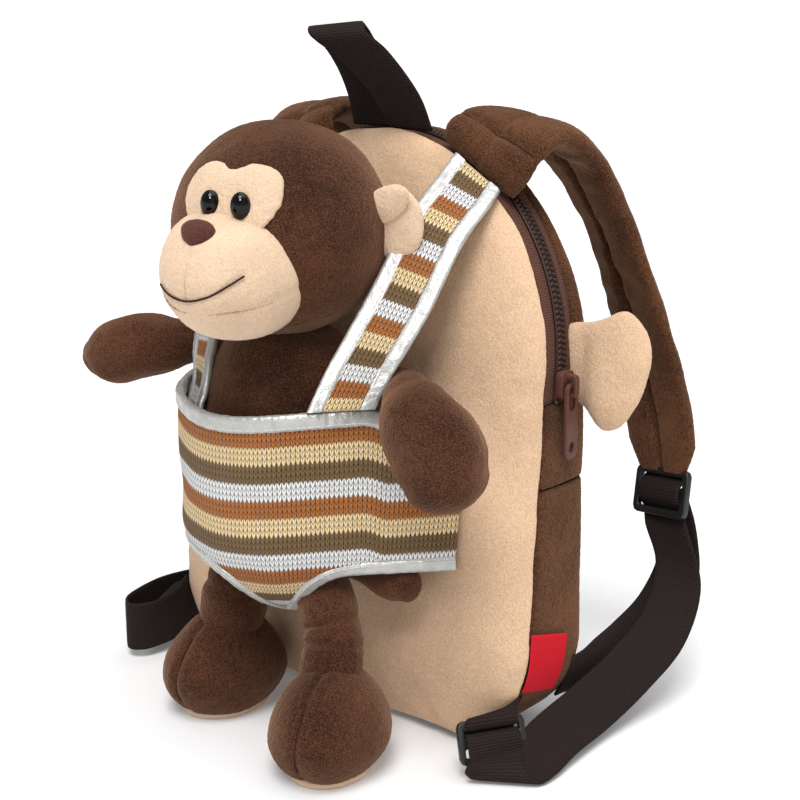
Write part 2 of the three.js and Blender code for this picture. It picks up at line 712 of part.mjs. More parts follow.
// The cream patch round the eyes has two round lobes
function facePatch() {
  const lobe = { x: 11, z: 18.5, radius: 14 };
  const lower = { wide: 44, tall: 26, z: 5 };
  const deep = 60;
  const lobes = [-lobe.x, lobe.x].map((x) =>
    new THREE.CylinderGeometry(lobe.radius, lobe.radius, deep, 18).translate(x, -deep / 2, lobe.z),
  );
  const cheeks = new THREE.BoxGeometry(lower.wide, deep, lower.tall).translate(0, -deep / 2, lower.z);
  return common(cut(headForm(gap + patchThick), headForm(gap), muzzleForm(gap)), fuse(...lobes, cheeks));
}

// A rounded triangle, wide at the top
function noseForm() {
  const nose = { place: [-2, -59, 5], radii: [7, 5.5, 6.2], taper: 0.35 };
  const geometry = new THREE.SphereGeometry(1, 10, 6).rotateX(Math.PI / 2);
  const place = geometry.attributes.position;
  for (let i = 0; i < place.count; i++) place.setX(i, place.getX(i) * (1 + nose.taper * place.getZ(i)));
  return geometry.scale(...nose.radii).translate(...nose.place);
}

const headParts = {
  toy_head: [headForm(0), colours.darkBrown],
  toy_face: [facePatch(), colours.face],
  toy_muzzle: [cut(muzzleForm(0), headForm(gap)), colours.face],
  toy_nose: [cut(noseForm(), muzzleForm(gap)), colours.brown],
};
const eye = { y: -45, z: 15.5, radii: [4.3, 4, 5.8] };
const toyEar = { z: 5, radii: [13.5, 7, 15.5], dent: { x: 3.5, y: -6.5, z: 1, radii: [7, 4.5, 9] } };
const headSides = [
  { name: "right", eyeX: 8.2, earX: 50, earY: 8, turn: 1 },
  { name: "left", eyeX: -6.2, earX: -45, earY: 17, turn: -1 },
];
for (const { name, eyeX, earX, earY, turn } of headSides) {
  const eyeForm = ellipsoid([eyeX, eye.y, eye.z], eye.radii, 0, 10, 6);
  const behindEye = headForm(2 * gap + patchThick);
  headParts[`toy_eye_${name}`] = [cut(eyeForm, behindEye, muzzleForm(gap)), colours.black];
  const { dent } = toyEar;
  const earForm = ellipsoid([earX, earY, toyEar.z], toyEar.radii, 0, 12, 8);
  const hollow = ellipsoid([earX + turn * dent.x, earY + dent.y, toyEar.z + dent.z], dent.radii, 0, 8, 6);
  headParts[`toy_ear_${name}`] = [cut(earForm, hollow, headForm(gap)), colours.face];
}
for (const [name, [geometry, colour]] of Object.entries(headParts)) {
  const clear = name.startsWith("toy_ear") ? suspenderBlocks : [];
  piece(name, clear.reduce((form, block) => cut(form, block), onHead(geometry)), colour);
}

// The body: half width, half depth and middle of each level
const bodyRows = [
  { z: 70, wide: 22, deep: 16, y: -62 },
  { z: 82, wide: 35, deep: 28, y: -69.5 },
  { z: 100, wide: 42, deep: 33, y: -71 },
  { z: 122, wide: 43, deep: 34, y: -71 },
  { z: 145, wide: 38, deep: 31, y: -67 },
  { z: 165, wide: 34, deep: 28, y: -64 },
  { z: 180, wide: 26, deep: 22, y: -62 },
];

function bodyForm(grow) {
  const sides = 16;
  const rings = bodyRows.map(({ z, wide, deep, y }) =>
    Array.from({ length: sides }, (_, i) => {
      const angle = (2 * Math.PI * i) / sides;
      return vector((wide + grow) * Math.cos(angle), y + (deep + grow) * Math.sin(angle), z);
    }),
  );
  const [low, high] = [bodyRows[0], bodyRows.at(-1)];
  const poles = { below: 5, above: 8 };
  const bottom = [vector(0, low.y, low.z - poles.below - grow)];
  const top = [vector(0, high.y, high.z + poles.above + grow)];
  return loft([bottom, ...rings, top]);
}
piece("toy_body", cut(bodyForm(0), onHead(headForm(gap))), colours.darkBrown);

const armRightRows = [
  { x: 30, y: -52, z: 163, radius: 10 },
  { x: 46, y: -52, z: 164, radius: 8.5 },
  { x: 58, y: -53, z: 164, radius: 8 },
  { x: 66, y: -57, z: 164, radius: 9.5 },
  { x: 74, y: -64, z: 162, radius: 13 },
  { x: 87, y: -71, z: 155, radius: 18.5 },
  { x: 97, y: -73, z: 145, radius: 20 },
  { x: 102, y: -73, z: 135, radius: 15 },
];
const armLeftRows = [
  { x: -30, y: -52, z: 163, radius: 10 },
  { x: -46, y: -52, z: 164, radius: 8.5 },
  { x: -58, y: -53, z: 165, radius: 8 },
  { x: -66, y: -58, z: 166, radius: 10 },
  { x: -76, y: -68, z: 165, radius: 14 },
  { x: -90, y: -76, z: 162, radius: 15.5 },
  { x: -101, y: -80, z: 158, radius: 14.5 },
  { x: -107, y: -81, z: 156, radius: 10 },
];
const arm = (rows) => cut(limb(rows), bodyForm(gap), ...suspenderBlocks);
piece("toy_arm_right", arm(armRightRows), colours.darkBrown);
piece("toy_arm_left", arm(armLeftRows), colours.darkBrown);

// Feet stand on cream soles; the legs run from the body down into them
const sole = { thick: 1.8, grow: 0.4 };
const foot = { radii: [25, 31, 26], z: 21 };
const legRadius = 13;
const legEnd = { share: 0.6, z: 40 }; // how far from the knee to the foot's middle, and how high
const feet = {
  right: { x: 52, y: -91, yaw: 0.25, hip: [21, -70, 82], knee: [40, -77, 58] },
  left: { x: -30, y: -77, yaw: 0, hip: [-20, -68, 82], knee: [-26, -71, 58] },
};
const slabSize = 200;
for (const [name, { x, y, yaw, hip, knee }] of Object.entries(feet)) {
  const footForm = (grow) =>
    ellipsoid([0, 0, 0], foot.radii, grow, 14, 9).rotateZ(yaw).translate(x, y, foot.z);
  const slab = (low, high) =>
    new THREE.BoxGeometry(slabSize, slabSize, high - low).translate(x, y, (low + high) / 2);
  piece(`toy_foot_${name}`, cut(footForm(0), slab(-slabSize, sole.thick + gap)), colours.darkBrown);
  piece(`toy_sole_${name}`, common(footForm(sole.grow), slab(0, sole.thick)), colours.face);
  const ankle = [mix(knee[0], x, legEnd.share), mix(knee[1], y, legEnd.share), legEnd.z];
  const legRows = [hip, knee, ankle].map(([px, py, pz]) => ({ x: px, y: py, z: pz, radius: legRadius }));
  piece(`toy_leg_${name}`, cut(limb(legRows), bodyForm(gap), footForm(gap)), colours.darkBrown);
}

const toyTailRows = [
  { x: 16, y: -48.8, z: 74, radius: 7 },
  { x: 36, y: -50, z: 73, radius: 7.5 },
  { x: 54, y: -52.5, z: 72, radius: 9 },
  { x: 65, y: -53.5, z: 72, radius: 7.5 },
];
piece("toy_tail", cut(limb(toyTailRows), bodyForm(gap)), colours.darkBrown);

// The pouch: from a wing on the panel, straight to the belly, round it, and back to the other wing
const pouchAngle = THREE.MathUtils.degToRad(35);
const bowl = { from: 100, depth: 46 };
const rimHeights = { front: 146.5, side: 150.5, wing: 122, fallFrom: 0.72 };
const hemHeights = { edge: 88, dip: 27, dipX: 13, dipWide: 14 };
// Shares of the half width, closer together round the dip between the legs
const pouchColumns = [
  -1, -0.84, -0.68, -0.56, -0.44, -0.34, -0.25, -0.16, -0.08, 0,
  0.08, 0.15, 0.22, 0.3, 0.4, 0.5, 0.6, 0.7, 0.84, 1,
];
const beltShare = 0.62; // the share of the half width that lies round the belly

function pouchPoint(s, z, out = 0) {
  const side = Math.sign(s) || 1;
  const reach = Math.abs(s);
  const shrink = z < bowl.from ? Math.sqrt(1 - ((bowl.from - z) / bowl.depth) ** 2) : 1;
  const [half, deep] = [pouchSize.halfWidth * shrink + out, pouchSize.halfDepth * shrink + out];
  const onBelly = (share) => {
    const angle = mix(Math.PI / 2, pouchAngle, share);
    return [half * Math.cos(angle), pouchSize.centreY - deep * Math.sin(angle)];
  };
  if (reach <= beltShare) {
    const [x, y] = onBelly(reach / beltShare);
    return vector(side * x, y, z);
  }
  const [x, y] = onBelly(1);
  const share = (reach - beltShare) / (1 - beltShare);
  const offPanel = pouchSize.wall + gap + pouchSize.bindingProud + out;
  const endY = panelFrontY(pouchSize.wingX, z) - offPanel;
  return vector(side * mix(x, pouchSize.wingX, share), mix(y, endY, share), z);
}

const smooth = (low, high, value) => THREE.MathUtils.smoothstep(value, low, high);

function rimHeight(s) {
  const reach = Math.abs(s);
  const front = mix(rimHeights.front, rimHeights.side, smooth(0, beltShare, reach));
  return mix(front, rimHeights.wing, smooth(rimHeights.fallFrom, 1, reach));
}

function hemHeight(s) {
  const x = pouchPoint(s, bowl.from).x;
  return hemHeights.edge - hemHeights.dip * Math.exp(-(((x - hemHeights.dipX) / hemHeights.dipWide) ** 2));
}

function pouchBand(low, high, rows, thickness, out = 0) {
  const face = (offset) =>
    pouchColumns.map((s) =>
      Array.from({ length: rows + 1 }, (_, j) => pouchPoint(s, mix(low(s), high(s), j / rows), offset)),
    );
  return wallBetween(face(out), face(out - thickness));
}
piece("pouch", pouchBand(hemHeight, rimHeight, 5, pouchSize.wall), colours.knit);
const binding = (low, high) =>
  pouchBand(low, high, 1, pouchSize.wall + 2 * pouchSize.bindingProud, pouchSize.bindingProud);
const rim = binding((s) => rimHeight(s) + gap, (s) => rimHeight(s) + pouchSize.rimTall);
const hem = binding((s) => hemHeight(s) - pouchSize.hemTall, (s) => hemHeight(s) - gap);
piece("pouch_rim", rim, colours.silver, 0.5);
piece("pouch_hem", hem, colours.silver, 0.5);

export default group;
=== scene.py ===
import json
import math

import bmesh
import bpy
import numpy as np
from mathutils import Matrix, Vector, noise

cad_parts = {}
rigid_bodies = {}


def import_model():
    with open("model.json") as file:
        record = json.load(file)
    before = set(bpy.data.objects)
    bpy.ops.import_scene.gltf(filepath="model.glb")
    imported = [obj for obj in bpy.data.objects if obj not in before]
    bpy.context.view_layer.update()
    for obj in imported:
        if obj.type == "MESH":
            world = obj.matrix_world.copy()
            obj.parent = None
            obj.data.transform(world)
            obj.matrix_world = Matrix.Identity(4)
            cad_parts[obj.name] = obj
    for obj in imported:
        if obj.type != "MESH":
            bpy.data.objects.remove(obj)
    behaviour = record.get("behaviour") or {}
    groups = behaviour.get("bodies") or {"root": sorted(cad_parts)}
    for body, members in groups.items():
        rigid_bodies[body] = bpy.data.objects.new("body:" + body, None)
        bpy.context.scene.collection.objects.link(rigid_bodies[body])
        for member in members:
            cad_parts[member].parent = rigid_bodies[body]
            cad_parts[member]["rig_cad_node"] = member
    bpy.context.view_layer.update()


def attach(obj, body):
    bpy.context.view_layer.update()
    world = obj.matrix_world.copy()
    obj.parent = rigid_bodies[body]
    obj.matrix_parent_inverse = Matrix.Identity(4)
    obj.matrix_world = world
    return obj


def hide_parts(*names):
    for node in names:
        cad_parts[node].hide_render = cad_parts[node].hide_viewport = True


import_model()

scene = bpy.context.scene
metres = 0.001  # every length below is in millimetres until its piece is made
gap = 0.35  # between pieces that are sewn together or rest on each other
bothSides = (("right", False), ("left", True))  # the left one is mirrored


class Wire:
    def __init__(self, tree, socket=None):
        self.tree = tree
        self.socket = socket

    def add(self, kind, settings=None, values=None, output=0):
        made = self.tree.nodes.new(kind)
        for key, value in (settings or {}).items():
            setattr(made, key, value)
        for key, value in (values or {}).items():
            if isinstance(value, Wire):
                self.tree.links.new(value.socket, made.inputs[key])
            else:
                made.inputs[key].default_value = value
        return Wire(self.tree, made.outputs[output])

    def maths(self, operation, first, second=0.0):
        return self.add("ShaderNodeMath", {"operation": operation}, {0: first, 1: second})

    def __add__(self, other):
        return self.maths("ADD", self, other)

    def __radd__(self, other):
        return self.maths("ADD", other, self)

    def __sub__(self, other):
        return self.maths("SUBTRACT", self, other)

    def __rsub__(self, other):
        return self.maths("SUBTRACT", other, self)

    def __mul__(self, other):
        return self.maths("MULTIPLY", self, other)

    def __rmul__(self, other):
        return self.maths("MULTIPLY", other, self)

    def __truediv__(self, other):
        return self.maths("DIVIDE", self, other)

    def __rtruediv__(self, other):
        return self.maths("DIVIDE", other, self)

    def __pow__(self, other):
        return self.maths("POWER", self, other)

    def above(self, level):
        return self.maths("GREATER_THAN", self, level)

    def wave(self, period):
        return self.maths("SINE", self * (2 * math.pi / period))

    def within(self, low, high):
        return self.add("ShaderNodeClamp", None, {0: self, 1: low, 2: high})

    def blend(self, first, second):
        return self.add("ShaderNodeMix", {"data_type": "RGBA"}, {0: self, 6: first, 7: second}, 2)

    def grain(self, scale, detail=2.0):
        return self.add("ShaderNodeTexNoise", None, {"Vector": self, "Scale": scale, "Detail": detail})

    def bump(self, strength, distance):
        values = {"Height": self, "Strength": strength, "Distance": distance}
        return self.add("ShaderNodeBump", None, values)


def colour(red, green, blue):
    shares = [channel / 255 for channel in (red, green, blue)]
    return [s / 12.92 if s < 0.04 else ((s + 0.055) / 1.055) ** 2.4 for s in shares] + [1.0]


def darker(tone, share):
    return [channel * share for channel in tone[:3]] + [1.0]


def startMaterial(name, constants):
    material = bpy.data.materials.new(name)
    material.use_nodes = True
    shader = material.node_tree.nodes["Principled BSDF"]
    for key, value in constants.items():
        shader.inputs[key].default_value = value
    return material, Wire(material.node_tree), shader


def plug(wire, shader, key):
    wire.tree.links.new(wire.socket, shader.inputs[key])


pileScale = {"fibre": 2400.0, "fine": 1000.0, "tuft": 330.0, "nap": 30.0}  # marks in a metre


def plushMaterial(name, pile, sheenTone, sheen, contrast, depth, combed=(1.0, 1.0, 1.0)):
    constants = {
        "Roughness": 0.95,
        "Specular IOR Level": 0.1,
        "Sheen Weight": sheen,
        "Sheen Roughness": 0.45,
        "Sheen Tint": sheenTone,
    }
    material, wire, shader = startMaterial(name, constants)
    place = wire.add("ShaderNodeTexCoord", output="Object")
    stroked = wire.add("ShaderNodeVectorMath", {"operation": "MULTIPLY"}, {0: place, 1: combed})
    fibre = stroked.grain(pileScale["fibre"], 0.0)
    fine = stroked.grain(pileScale["fine"], 2.0)
    tuft = stroked.grain(pileScale["tuft"], 1.0)
    nap = place.grain(pileScale["nap"], 2.0)
    # the fine fibre speckle is partly the pile's own grain and partly painted glints on the fibre tips
    pileShare = (fibre - 0.5) * 3.0 + (fine - 0.5) * 1.3 + (tuft - 0.5) * 0.6
    share = (0.5 + pileShare + (nap - 0.5) * 1.9).within(0.0, 1.0)
    toned = share.blend(darker(pile, 1.0 - contrast), darker(pile, 1.0 + 0.5 * contrast))
    plug(toned, shader, "Base Color")
    plug((fibre * 0.5 + fine + tuft * 0.6).bump(0.6, depth), shader, "Normal")
    return material


def webbingMaterial(name, tone, rib, border):
    constants = {"Roughness": 0.8, "Specular IOR Level": 0.15}
    material, wire, shader = startMaterial(name, constants)
    cloth = wire.add("ShaderNodeUVMap", {"uv_map": "cloth"})
    along = wire.add("ShaderNodeSeparateXYZ", None, {0: cloth}, 0)
    across = wire.add("ShaderNodeSeparateXYZ", None, {0: cloth}, 1)
    twist = across.wave(rib * 1.6) * 0.22
    ribs = (along + twist).wave(rib) * 0.5 + 0.5
    yarn = across.wave(rib * 0.8) * 0.25 + 0.5
    edge = across.maths("ABSOLUTE", across).above(border)
    height = ribs * (1.0 - edge * 0.6) + yarn * 0.5
    share = (ribs * 0.7 + yarn * 0.3).within(0.0, 1.0)
    plug(share.blend(darker(tone, 0.32), darker(tone, 1.5)), shader, "Base Color")
    plug(height.bump(0.6, 0.0006), shader, "Normal")
    return material


def knitMaterial(name, yarns, stitch):
    constants = {"Roughness": 0.9, "Specular IOR Level": 0.15, "Sheen Weight": 0.1, "Sheen Roughness": 0.5}
    material, wire, shader = startMaterial(name, constants)
    cloth = wire.add("ShaderNodeUVMap", {"uv_map": "cloth"})
    across = wire.add("ShaderNodeSeparateXYZ", None, {0: cloth}, 0) / stitch["wale"]
    down = wire.add("ShaderNodeSeparateXYZ", None, {0: cloth}, 1) / stitch["course"]
    aside = across.maths("ABSOLUTE", across.maths("FRACT", across) - 0.5)
    slanted = down + aside * stitch["slant"]
    course = slanted.maths("FLOOR", slanted)
    along = slanted - course
    leg = aside.maths("SINE", aside * (1.64 * math.pi) + 0.18 * math.pi)  # deepest between two wales
    bead = along.maths("SINE", along * math.pi)
    height = (bead ** 0.6) * (leg ** 0.8)
    band = course.maths("FLOORED_MODULO", course.maths("FLOOR", course / stitch["courses"]), 4.0)
    upper = band.above(0.5).blend(yarns[0], yarns[1])
    lower = band.above(2.5).blend(yarns[2], yarns[3])
    striped = band.above(1.5).blend(upper, lower)
    # painted shade: the low parts of each stitch, between the yarns, are multiplied towards a dark brown
    shade = (height * 1.95 - 0.12).within(0.0, 1.0)
    toned = wire.add(
        "ShaderNodeMix",
        {"data_type": "RGBA", "blend_type": "MULTIPLY"},
        {0: 1.0, 6: striped, 7: shade.blend(stitch["hollow"], (1.0, 1.0, 1.0, 1.0))},
        2,
    )
    plug(toned, shader, "Base Color")
    plug(height.bump(0.9, 0.0011), shader, "Normal")
    return material


def satinMaterial(name, tone, weave):
    constants = {"Metallic": 0.5, "Roughness": 0.42}
    material, wire, shader = startMaterial(name, constants)
    place = wire.add("ShaderNodeTexCoord", output="Object")
    grain = place.grain(weave, 0.0)
    crease = place.grain(190.0, 1.0)
    # painted shade and highlight: the colour follows the wrinkles' bump, darker in their low parts and
    # lighter on their ridges
    share = (crease * 0.8 + grain * 0.3).within(0.0, 1.0)
    plug(share.blend(darker(tone, 0.62), darker(tone, 1.1)), shader, "Base Color")
    plug((grain * 0.35 + crease).bump(0.5, 0.001), shader, "Normal")
    return material


def plainMaterial(name, tone, roughness, specular, grainScale, grainDepth):
    constants = {"Roughness": roughness, "Specular IOR Level": specular}
    material, wire, shader = startMaterial(name, constants)
    place = wire.add("ShaderNodeTexCoord", output="Object")
    grain = place.grain(grainScale, 1.0)
    plug(grain.blend(darker(tone, 0.85), darker(tone, 1.12)), shader, "Base Color")
    plug(grain.bump(0.4, grainDepth), shader, "Normal")
    return material


tones = {
    "cream": colour(220, 185, 152),
    "brown": colour(91, 58, 38),
    "toy": colour(80, 49, 33),
    "face": colour(227, 197, 167),
    "webbing": colour(37, 27, 24),
    "zip": colour(98, 66, 54),
    "coil": colour(54, 33, 26),
    "enamel": colour(90, 54, 45),
    "black": colour(20, 20, 22),
    "red": colour(216, 24, 42),
    "silver": colour(196, 196, 192),
    "nose": colour(88, 52, 46),
    "thread": colour(58, 34, 28),
    "seam": colour(198, 156, 122),
    "eye": colour(9, 7, 7),
    "stitches": colour(206, 205, 200),
}
sheens = {
    "cream": (1.0, 0.88, 0.78, 1.0),
    "brown": (0.7, 0.44, 0.28, 1.0),
    "toy": (0.68, 0.42, 0.27, 1.0),
    "face": (1.0, 0.92, 0.84, 1.0),
    "nose": (0.8, 0.55, 0.5, 1.0),
}
yarns = [colour(190, 118, 60), colour(255, 226, 175), colour(132, 105, 68), colour(255, 255, 255)]
# the last colour is painted shade for the dips between stitches
stitch = {"wale": 2.0, "course": 2.65, "courses": 3.0, "slant": 1.3, "hollow": (0.1, 0.075, 0.05, 1.0)}

combedDown = (1.0, 1.0, 0.6)
creamPlush = plushMaterial("creamPlush", tones["cream"], sheens["cream"], 0.25, 0.17, 0.0006, combedDown)
brownPlush = plushMaterial("brownPlush", tones["brown"], sheens["brown"], 0.38, 0.68, 0.0008)
toyPlush = plushMaterial("toyPlush", tones["toy"], sheens["toy"], 0.5, 0.74, 0.0009)
facePlush = plushMaterial("facePlush", tones["face"], sheens["face"], 0.3, 0.16, 0.0006)
nosePlush = plushMaterial("nosePlush", tones["nose"], sheens["nose"], 0.3, 0.35, 0.0005)
strapWebbing = webbingMaterial("strapWebbing", tones["webbing"], 1.3, 11.8)
zipCloth = webbingMaterial("zipCloth", tones["zip"], 1.15, 90.0)
stripedKnit = knitMaterial("stripedKnit", yarns, stitch)
silverSatin = satinMaterial("silverSatin", tones["silver"], 1800.0)
redTape = webbingMaterial("redTape", tones["red"], 0.75, 11.6)
coilNylon = plainMaterial("coilNylon", tones["coil"], 0.5, 0.22, 900.0, 0.0001)
enamel = plainMaterial("enamel", tones["enamel"], 0.45, 0.25, 500.0, 0.00005)
blackPlastic = plainMaterial("blackPlastic", tones["black"], 0.42, 0.5, 1500.0, 0.0001)
eyePlastic = plainMaterial("eyePlastic", tones["eye"], 0.05, 0.28, 200.0, 0.0)
mouthThread = plainMaterial("mouthThread", tones["thread"], 0.8, 0.1, 2500.0, 0.0003)
seamThread = plainMaterial("seamThread", tones["seam"], 0.85, 0.5, 2500.0, 0.0003)
stitchThread = plainMaterial("stitchThread", tones["stitches"], 0.7, 0.5, 2500.0, 0.0003)
print("materials made")


def unit(vectors):
    return vectors / np.maximum(np.linalg.norm(vectors, axis=-1, keepdims=True), 1e-9)


def smoothStep(low, high, value):
    share = np.clip((np.asarray(value, float) - low) / (high - low), 0.0, 1.0)
    return share * share * (3 - 2 * share)


def mixed(first, second, share):
    return first + (second - first) * share


def spline(points, count):
    known = np.array(points, float)
    last = len(known) - 1
    guides = np.vstack([2 * known[0] - known[1], known, 2 * known[-1] - known[-2]])
    found = []
    for place in np.linspace(0, last, count):
        i = min(int(place), last - 1)
        t = place - i
        p0, p1, p2, p3 = guides[i : i + 4]
        d0, d1, d2 = (np.sum((b - a) ** 2) ** 0.25 for a, b in ((p0, p1), (p1, p2), (p2, p3)))
        d1 = d1 if d1 > 1e-4 else 1.0
        d0 = d0 if d0 > 1e-4 else d1
        d2 = d2 if d2 > 1e-4 else d1
        m1 = d1 * ((p1 - p0) / d0 - (p2 - p0) / (d0 + d1) + (p2 - p1) / d1)
        m2 = d1 * ((p2 - p1) / d1 - (p3 - p1) / (d1 + d2) + (p3 - p2) / d2)
        bend = 2 * p1 - 2 * p2 + m1 + m2
        lean = -3 * p1 + 3 * p2 - 2 * m1 - m2
        found.append(p1 + m1 * t + lean * t**2 + bend * t**3)
    return np.array(found)


def lengths(points):
    steps = np.linalg.norm(np.diff(points, axis=0), axis=1)
    return np.concatenate([[0.0], np.cumsum(steps)])


def skin(points, cloth=None, weld=True):
    rows, columns = points.shape[:2]
    bm = bmesh.new()
    bmesh.ops.create_grid(bm, x_segments=columns - 1, y_segments=rows - 1, size=1.0)
    bm.verts.ensure_lookup_table()
    for vert, place in zip(bm.verts, points.reshape(-1, 3)):
        vert.co = place
    if cloth is not None:
        layer = bm.loops.layers.uv.new("cloth")
        flat = cloth.reshape(-1, 2)
        for face in bm.faces:
            for loop in face.loops:
                loop[layer].uv = flat[loop.vert.index]
    if weld:
        bmesh.ops.remove_doubles(bm, verts=bm.verts, dist=0.002)
    bmesh.ops.recalc_face_normals(bm, faces=bm.faces)
    return bm


def ruffle(bm, *waves):
    for size, depth, seed in waves:
        bm.normal_update()
        shift = Vector((seed, seed, seed))
        moves = [v.normal * depth * noise.noise(v.co / size + shift) for v in bm.verts]
        for vert, move in zip(bm.verts, moves):
            vert.co += move


def join(bm, other):
    held = bpy.data.meshes.new("held")
    other.to_mesh(held)
    other.free()
    bm.from_mesh(held)
    bpy.data.meshes.remove(held)


def addPiece(name, bm, material, nodes=(), body="bag"):
    bmesh.ops.scale(bm, vec=(metres, metres, metres), verts=bm.verts)
    mesh = bpy.data.meshes.new(name)
    bm.to_mesh(mesh)
    bm.free()
    mesh.shade_smooth()
    mesh.materials.append(material)
    obj = bpy.data.objects.new(name, mesh)
    scene.collection.objects.link(obj)
    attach(obj, body)
    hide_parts(*nodes)
    return obj


def refine(obj, levels=1):
    finer = obj.modifiers.new("finer", "SUBSURF")
    finer.levels = levels
    finer.render_levels = levels
    finer.show_viewport = False


def thicken(obj, thickness, offset):
    wall = obj.modifiers.new("wall", "SOLIDIFY")
    wall.thickness = thickness * metres
    wall.offset = offset
    wall.show_viewport = False


fuzzTexture = bpy.data.textures.new("fuzz", "CLOUDS")
fuzzTexture.noise_scale = 0.0015
fuzzTexture.noise_depth = 1


def fuzz(obj, depth=0.45):
    pile = obj.modifiers.new("pile", "DISPLACE")
    pile.texture = fuzzTexture
    pile.texture_coords = "LOCAL"
    pile.strength = depth * metres
    pile.mid_level = 0.5
    pile.show_viewport = False


def padPiece(name, bm, material, nodes, levels=1, pile=0.45):
    obj = addPiece(name, bm, material, nodes)
    if levels:
        refine(obj, levels)
    if pile:
        fuzz(obj, pile)
    return obj


def mirrorX(bm):
    bmesh.ops.scale(bm, vec=(-1, 1, 1), verts=bm.verts)
    bmesh.ops.reverse_faces(bm, faces=bm.faces)


def closeEnds(bm, sides):
    ends = [e for e in bm.edges if e.is_boundary]
    bmesh.ops.holes_fill(bm, edges=ends, sides=sides)
    bmesh.ops.recalc_face_normals(bm, faces=bm.faces)


def tubePoints(path, radii, around, tips=(0, 0), up=(0.0, 0.0, 1.0), squash=1.0):
    way = unit(np.gradient(path, axis=0))
    side = np.zeros_like(path)
    guide = np.array(up, float)
    for i, ahead in enumerate(way):
        guide = guide - ahead * guide.dot(ahead)
        guide = guide / np.linalg.norm(guide)
        side[i] = guide
    other = np.cross(way, side)
    rings = []
    angles = np.linspace(0, 2 * math.pi, around + 1)

    def ring(centre, a, b, radius):
        return centre + radius * (np.cos(angles)[:, None] * a + squash * np.sin(angles)[:, None] * b)

    for k in range(tips[0]):
        turn = k / tips[0] * math.pi / 2
        reach = radii[0] * 0.75 * math.cos(turn)
        rings.append(ring(path[0] - way[0] * reach, side[0], other[0], radii[0] * math.sin(turn)))
    for i in range(len(path)):
        rings.append(ring(path[i], side[i], other[i], radii[i]))
    for k in reversed(range(tips[1])):
        turn = k / tips[1] * math.pi / 2
        reach = radii[-1] * 0.75 * math.cos(turn)
        rings.append(ring(path[-1] + way[-1] * reach, side[-1], other[-1], radii[-1] * math.sin(turn)))
    return np.array(rings)


def threadTube(bm, path, radius, around=6):
    join(bm, skin(tubePoints(path, np.full(len(path), radius), around, tips=(2, 2))))


def dashes(bm, line, step, radius):
    for k in range(0, len(line) - step + 1, step):
        threadTube(bm, line[k : k + step], radius, 5)


# The bag's outline, from the bottom middle round by the right
bag = {
    "height": 265.0,
    "halfWidth": 110.0,
    "arch": 103.0,
    "corner": 45.0,
    "seamY": (-34.0, 5.0),
    "depth": (52.0, 27.0),
    "middle": (0.0, 125.0),
}


def outlineRows():
    flat = bag["halfWidth"] - bag["corner"]
    archZ = bag["height"] - bag["arch"]
    rows = []

    def arc(centreX, centreZ, radius, start, end):
        for turn in np.linspace(start, end, 120):
            c, s = math.cos(turn), math.sin(turn)
            rows.append((centreX + radius * c, centreZ + radius * s, c, s))

    rows.append((0.0, 0.0, 0.0, -1.0))
    arc(flat, bag["corner"], bag["corner"], -math.pi / 2, 0)
    arc(0.0, archZ, bag["arch"], 0, math.pi)
    arc(-flat, bag["corner"], bag["corner"], math.pi, 1.5 * math.pi)
    rows.append((0.0, 0.0, 0.0, -1.0))
    return np.array(rows)


outline = outlineRows()
outlineRun = lengths(outline[:, :2])
outlineShare = outlineRun / outlineRun[-1]


def outlineAt(share):
    wrapped = np.asarray(share, float) % 1.0
    return [np.interp(wrapped, outlineShare, outline[:, k]) for k in range(4)]


def shareAtHeight(height):
    shares = np.linspace(0.09, 0.5, 4000)
    return float(np.interp(height, outlineAt(shares)[1], shares))


def seamY(z):
    return mixed(*bag["seamY"], z / bag["height"])


def depthAt(z):
    return mixed(*bag["depth"], z / bag["height"])


def bagPoints(share, behind, inset):
    x, z, outX, outZ = outlineAt(share)
    return np.stack([x - outX * inset, seamY(z) + behind, z - outZ * inset], axis=-1)


frontPanel = {
    "around": 520,
    "rings": 96,
    "inset": 0.0,
    "hem": 1.9,  # over the floor, so that the gusset shows under it
    "bulge": 18.0,
    "wall": 3.0,
    "pucker": 0.7,
    "ruffles": ((42.0, 1.3, 2.0), (14.0, 0.5, 5.0)),  # size, depth and seed of each
    "fill": 0.45,
}
backPanel = {
    "around": 300,
    "rings": 44,
    "inset": 11.35,
    "hem": 0.0,
    "bulge": 5.0,
    "wall": 3.0,
    "pucker": 0.5,
    "ruffles": ((40.0, 0.9, 8.0),),
    "fill": 0.35,
}
panelEdge = {"share": 0.998, "puckerAt": 0.965, "puckerWide": 0.03, "lining": (0.972, 0.94, 0.8, 0.4, 0.0)}


def panelRise(share, bulge):
    return bulge * (1 - np.clip(share, 0, 1) ** 5) ** 0.6


panelAngles = np.linspace(0, 1, 1441)[:-1]
panelX, panelZ = outlineAt(panelAngles)[:2]
panelTurn = np.arctan2(panelZ - bag["middle"][1], panelX - bag["middle"][0])
panelReach = np.hypot(panelX - bag["middle"][0], panelZ - bag["middle"][1])
turnOrder = np.argsort(panelTurn)


def panelFrontY(x, z):
    turn = np.arctan2(z - bag["middle"][1], x - bag["middle"][0])
    edge = np.interp(turn, panelTurn[turnOrder], panelReach[turnOrder])
    reach = np.hypot(x - bag["middle"][0], z - bag["middle"][1])
    return seamY(z) - panelRise(reach / edge, frontPanel["bulge"])


